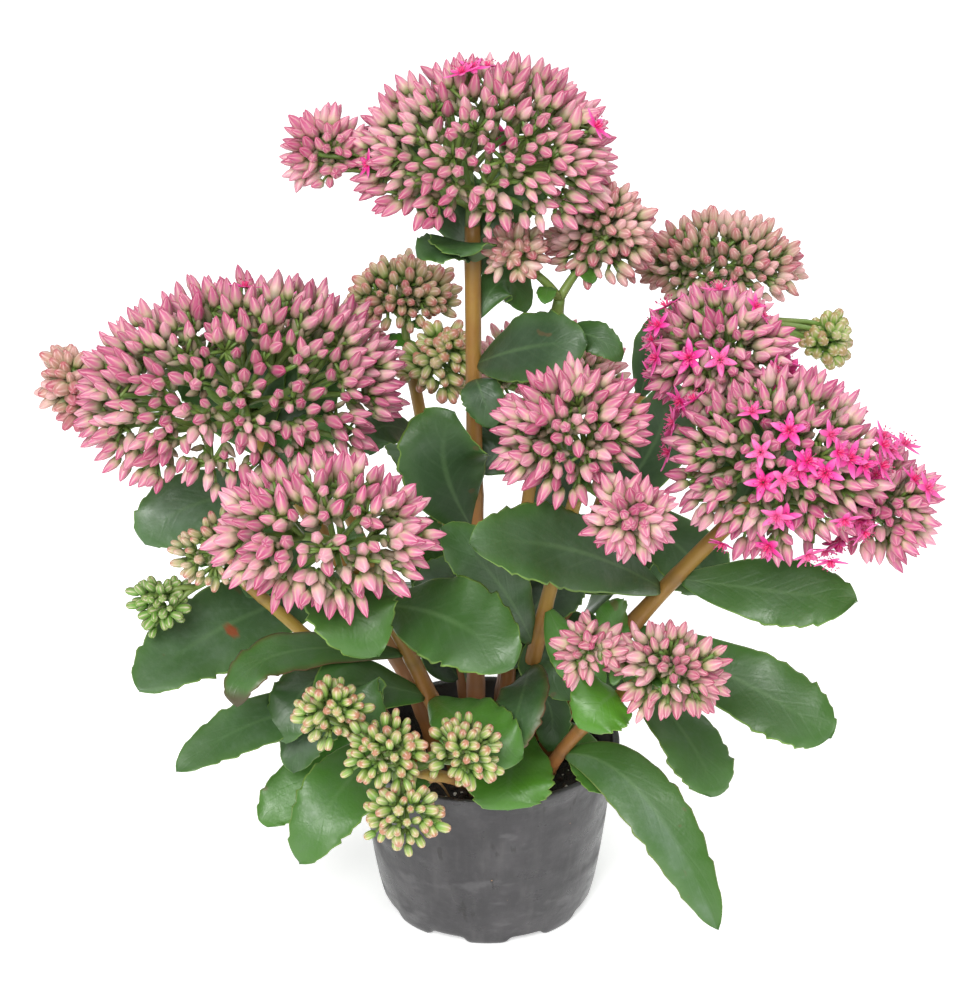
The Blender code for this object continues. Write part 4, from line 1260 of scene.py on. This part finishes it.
def bud_material(group):
    """Closed buds: green and cream at the foot, then pink with a deeper tip, or yellow-green and peach
    on the younger heads, each bud paler or deeper than the next, pale along its seams, and greener
    and darker where it is deep in a head, which is painted shade."""
    material, tree, shader = new_material("bud", 0.48)
    along, shade, ridge = mark(tree, "along"), mark(tree, "shade"), mark(tree, "ridge")
    young = mark(tree, "peach")
    drift = times(tree, combined(tree, "SUBTRACT", shade, 0.5), -0.35)
    shifted = combined(tree, "ADD", combined(tree, "ADD", along, drift), times(tree, ridge, 0.08))
    skin = mix(tree, young, colours(tree, shifted, PINK_BUD), colours(tree, shifted, PEACH_BUD))
    skin = mix(tree, ramp(tree, young, 1.1, 2.0, 0.0, 0.85), skin, GREEN_BUD)
    seam = times(tree, ramp(tree, ridge, 0.5, 0.0), ramp(tree, along, 0.15, 0.5))
    skin = over(tree, skin, seam, 0.5, mix(tree, ramp(tree, along, 0.4, 0.9), SEAM_CREAM, SEAM_PINK))
    grown = ramp(tree, young, 0.4, 1.0, 1.0, 0.15)
    skin = over(tree, skin, ramp(tree, shade, 0.5, 1.0, 0.0, 0.5), grown, BUD_PALE)
    skin = over(tree, skin, ramp(tree, shade, 0.42, 0.05, 0.0, 0.45), grown, BUD_DEEP)
    # Painted shade: buds deep in a head, under the outer ones, are darkened to a dark green
    skin = over(tree, skin, mark(tree, "deep"), 0.62, BUD_SHADED)
    skin = mottled(tree, group, skin, mix(tree, 0.5, skin, BUD_FLECK), 0.3)
    shader.inputs["Subsurface Weight"].default_value = 0.1
    shader.inputs["Subsurface Radius"].default_value = (0.0012, 0.0006, 0.0005)
    dress(tree, shader, skin, noise(tree, 2600.0, 2.0), 0.0001, 0.4)
    return material


def star_material():
    """Open flowers: hot pink petals, paler towards the tip, deep pink carpels and dark stamen heads."""
    material, tree, shader = new_material("star", 0.5)
    part = mark(tree, "part")
    petal = colours(tree, mark(tree, "along"), PETAL)
    skin = mix(tree, ramp(tree, part, 0.0, 0.3), petal, colours(tree, part, STAR_PARTS))
    skin = mix(tree, ramp(tree, mark(tree, "shade"), 0.4, 1.0, 0.0, 0.4), skin, PETAL_PALE)
    shader.inputs["Subsurface Weight"].default_value = 0.15
    shader.inputs["Subsurface Radius"].default_value = (0.0012, 0.0006, 0.0008)
    dress(tree, shader, skin, noise(tree, 2200.0, 2.0), 0.0001, 0.4)
    return material


def stalk_material(group, name, low, high, fleck):
    """Stems and flower stalks: one colour low down that turns to another, scarred at the knots."""
    material, tree, shader = new_material(name, 0.45)
    skin = mix(tree, ramp(tree, mark(tree, "rise"), 0.1, 1.0), low, high)
    skin = over(tree, skin, mark(tree, "shade"), 0.45, fleck)
    skin = mottled(tree, group, skin, mix(tree, 0.65, skin, fleck), 0.9)
    skin = over(tree, skin, mark(tree, "knot"), 0.45, KNOT_SCAR)
    dress(tree, shader, skin, noise(tree, 700.0, 4.0, 0.25), 0.0004, 0.5)
    return material


def soil_material():
    """Damp dark potting soil with brown and pale grains and a tan twig."""
    material, tree, shader = new_material("soil", 0.9)
    kind = mark(tree, "grain")
    dark = colours(tree, noise(tree, 900.0, 6.0), CRUMBS)
    skin = mix(tree, ramp(tree, kind, 0.05, 0.2), dark, colours(tree, kind, GRAIN_KINDS))
    dress(tree, shader, skin, noise(tree, 1500.0, 8.0), 0.0012, 0.9)
    return material


def pot_material(group):
    """Worn grey plastic: faint streaks down the wall, dusty scuffs, dark scratches and specks of dirt,
    with painted shade, near black, in the notches between the feet."""
    material, tree, shader = new_material("pot_plastic", 0.4)
    skin = mottled(tree, group, PLASTIC, PLASTIC_WORN, 0.9)
    for wear in POT_WEAR.values():
        shown = ramp(tree, noise(tree, wear.scale, wear.detail, wear.rise), wear.low, wear.high)
        skin = over(tree, skin, shown, wear.share, wear.colour)
    # Painted shade: the notches between the feet are darkened almost to black
    skin = over(tree, skin, mark(tree, "drop"), 0.8, NOTCH_PAINTED_SHADE)
    rough = ramp(tree, noise(tree, 70.0, 5.0, 2.0), 0.35, 0.7, 0.26, 0.58)
    tree.links.new(rough, shader.inputs["Roughness"])
    fine = times(tree, noise(tree, 1400.0, 3.0), 0.12)
    dress(tree, shader, skin, combined(tree, "ADD", noise(tree, 60.0, 3.0), fine), 0.0014, 0.5)
    return material


def add_lamps():
    """Soft square lamps, from the front and from above behind, that look at the plant's middle."""
    for name, lamp in LAMPS.items():
        light = bpy.data.lights.new(name, "AREA")
        light.size = lamp.size
        light.energy = lamp.power
        thing = add_thing(name, light)
        thing.location = lamp.spot
        view = Vector(LAMP_AIM) - Vector(lamp.spot)
        thing.rotation_euler = view.to_track_quat("-Z", "Y").to_euler()


def add_floor():
    """A plain pale floor that glows a little."""
    reach = FLOOR_REACH
    points = [(-reach, -reach, 0.0), (reach, -reach, 0.0), (reach, reach, 0.0), (-reach, reach, 0.0)]
    mesh = bpy.data.meshes.new("floor")
    mesh.from_pydata(points, [], [(0, 1, 2, 3)])
    material, _, shader = new_material("floor", 0.8)
    shader.inputs["Base Color"].default_value = (0.9, 0.9, 0.9, 1.0)
    shader.inputs["Emission Color"].default_value = (1.0, 1.0, 1.0, 1.0)
    shader.inputs["Emission Strength"].default_value = FLOOR_GLOW
    mesh.materials.append(material)
    floor = add_thing("floor", mesh)


def add_world():
    """A soft pale world."""
    world = bpy.data.worlds.new("studio")
    bpy.context.scene.world = world
    world.use_nodes = True
    backdrop = world.node_tree.nodes["Background"]
    backdrop.inputs["Color"].default_value = (1.0, 1.0, 1.0, 1.0)
    backdrop.inputs["Strength"].default_value = WORLD_GLOW


def add_camera():
    """The photograph's camera."""
    camera = bpy.data.cameras.new("camera")
    camera.sensor_fit = "HORIZONTAL"
    camera.sensor_width = SENSOR_WIDTH
    camera.lens = FOCAL_PIXELS / PHOTO_WIDTH * SENSOR_WIDTH
    thing = add_thing("camera", camera)
    thing.location = CAMERA_SPOT
    thing.rotation_euler = (math.radians(90.0 - CAMERA_PITCH), 0.0, 0.0)
    bpy.context.scene.camera = thing


def add_leaves(look):
    """The leaves that the solids have, and the smaller ones that stand only here."""
    for seed, (name, leaf) in enumerate(LEAVES.items()):
        add_piece(f"blade_{name}", blade(leaf, seed, name), look, "leaf", f"leaf_{name}")
    for seed, leaf in enumerate(FILLERS):
        add_piece(f"small_blade_{seed + 1}", blade(leaf, FILLER_SEED + seed), look, "leaf")


def add_heads(bud_look, star_look, ray_look, leaf_look):
    """Each flower head, as buds that replace its solid, stalks, small leaves and open stars."""
    for seed, (name, domes) in enumerate(HEADS.items()):
        slot = "bud_pale" if name in PALE_HEADS else "bud_pink"
        buds, stars, stalks, leaves = flower_head(name, domes, LOOKS[name], HEAD_SEED + seed)
        add_piece(f"buds_{name}", merge(buds), bud_look, slot, f"head_{name}")
        add_piece(f"rays_{name}", merge(stalks), ray_look, "stem")
        add_piece(f"bracts_{name}", merge(leaves), leaf_look, "leaf")
        if stars:
            add_piece(f"stars_{name}", merge(stars), star_look, slot)


def build_plant():
    """Makes every piece of the plant and its pot."""
    mottle = mottle_group()
    leaf_look = leaf_material(mottle)
    stem_look = stalk_material(mottle, "stem", *STEM_COLOURS)
    ray_look = stalk_material(mottle, "flower_stalk", *RAY_COLOURS)
    add_leaves(leaf_look)
    for seed, (name, stem) in enumerate(STEMS.items()):
        add_piece(f"stalk_{name}", stalk(stem, seed), stem_look, "stem", f"stem_{name}")
    add_heads(bud_material(mottle), star_material(), ray_look, leaf_look)
    grains = [soil_grains(*sort, SOIL_SEED + 1 + number) for number, sort in enumerate(GRAINS)]
    soil = merge([soil_surface(SOIL_SEED), *grains, twig()])
    add_piece("potting_soil", soil, soil_material(), "soil", "soil")
    add_piece("nursery_pot", pot_surface(), pot_material(mottle), "pot_plastic", "pot")


add_camera()
add_floor()
add_world()
add_lamps()
build_plant()
bpy.context.scene.view_settings.view_transform = "Standard"
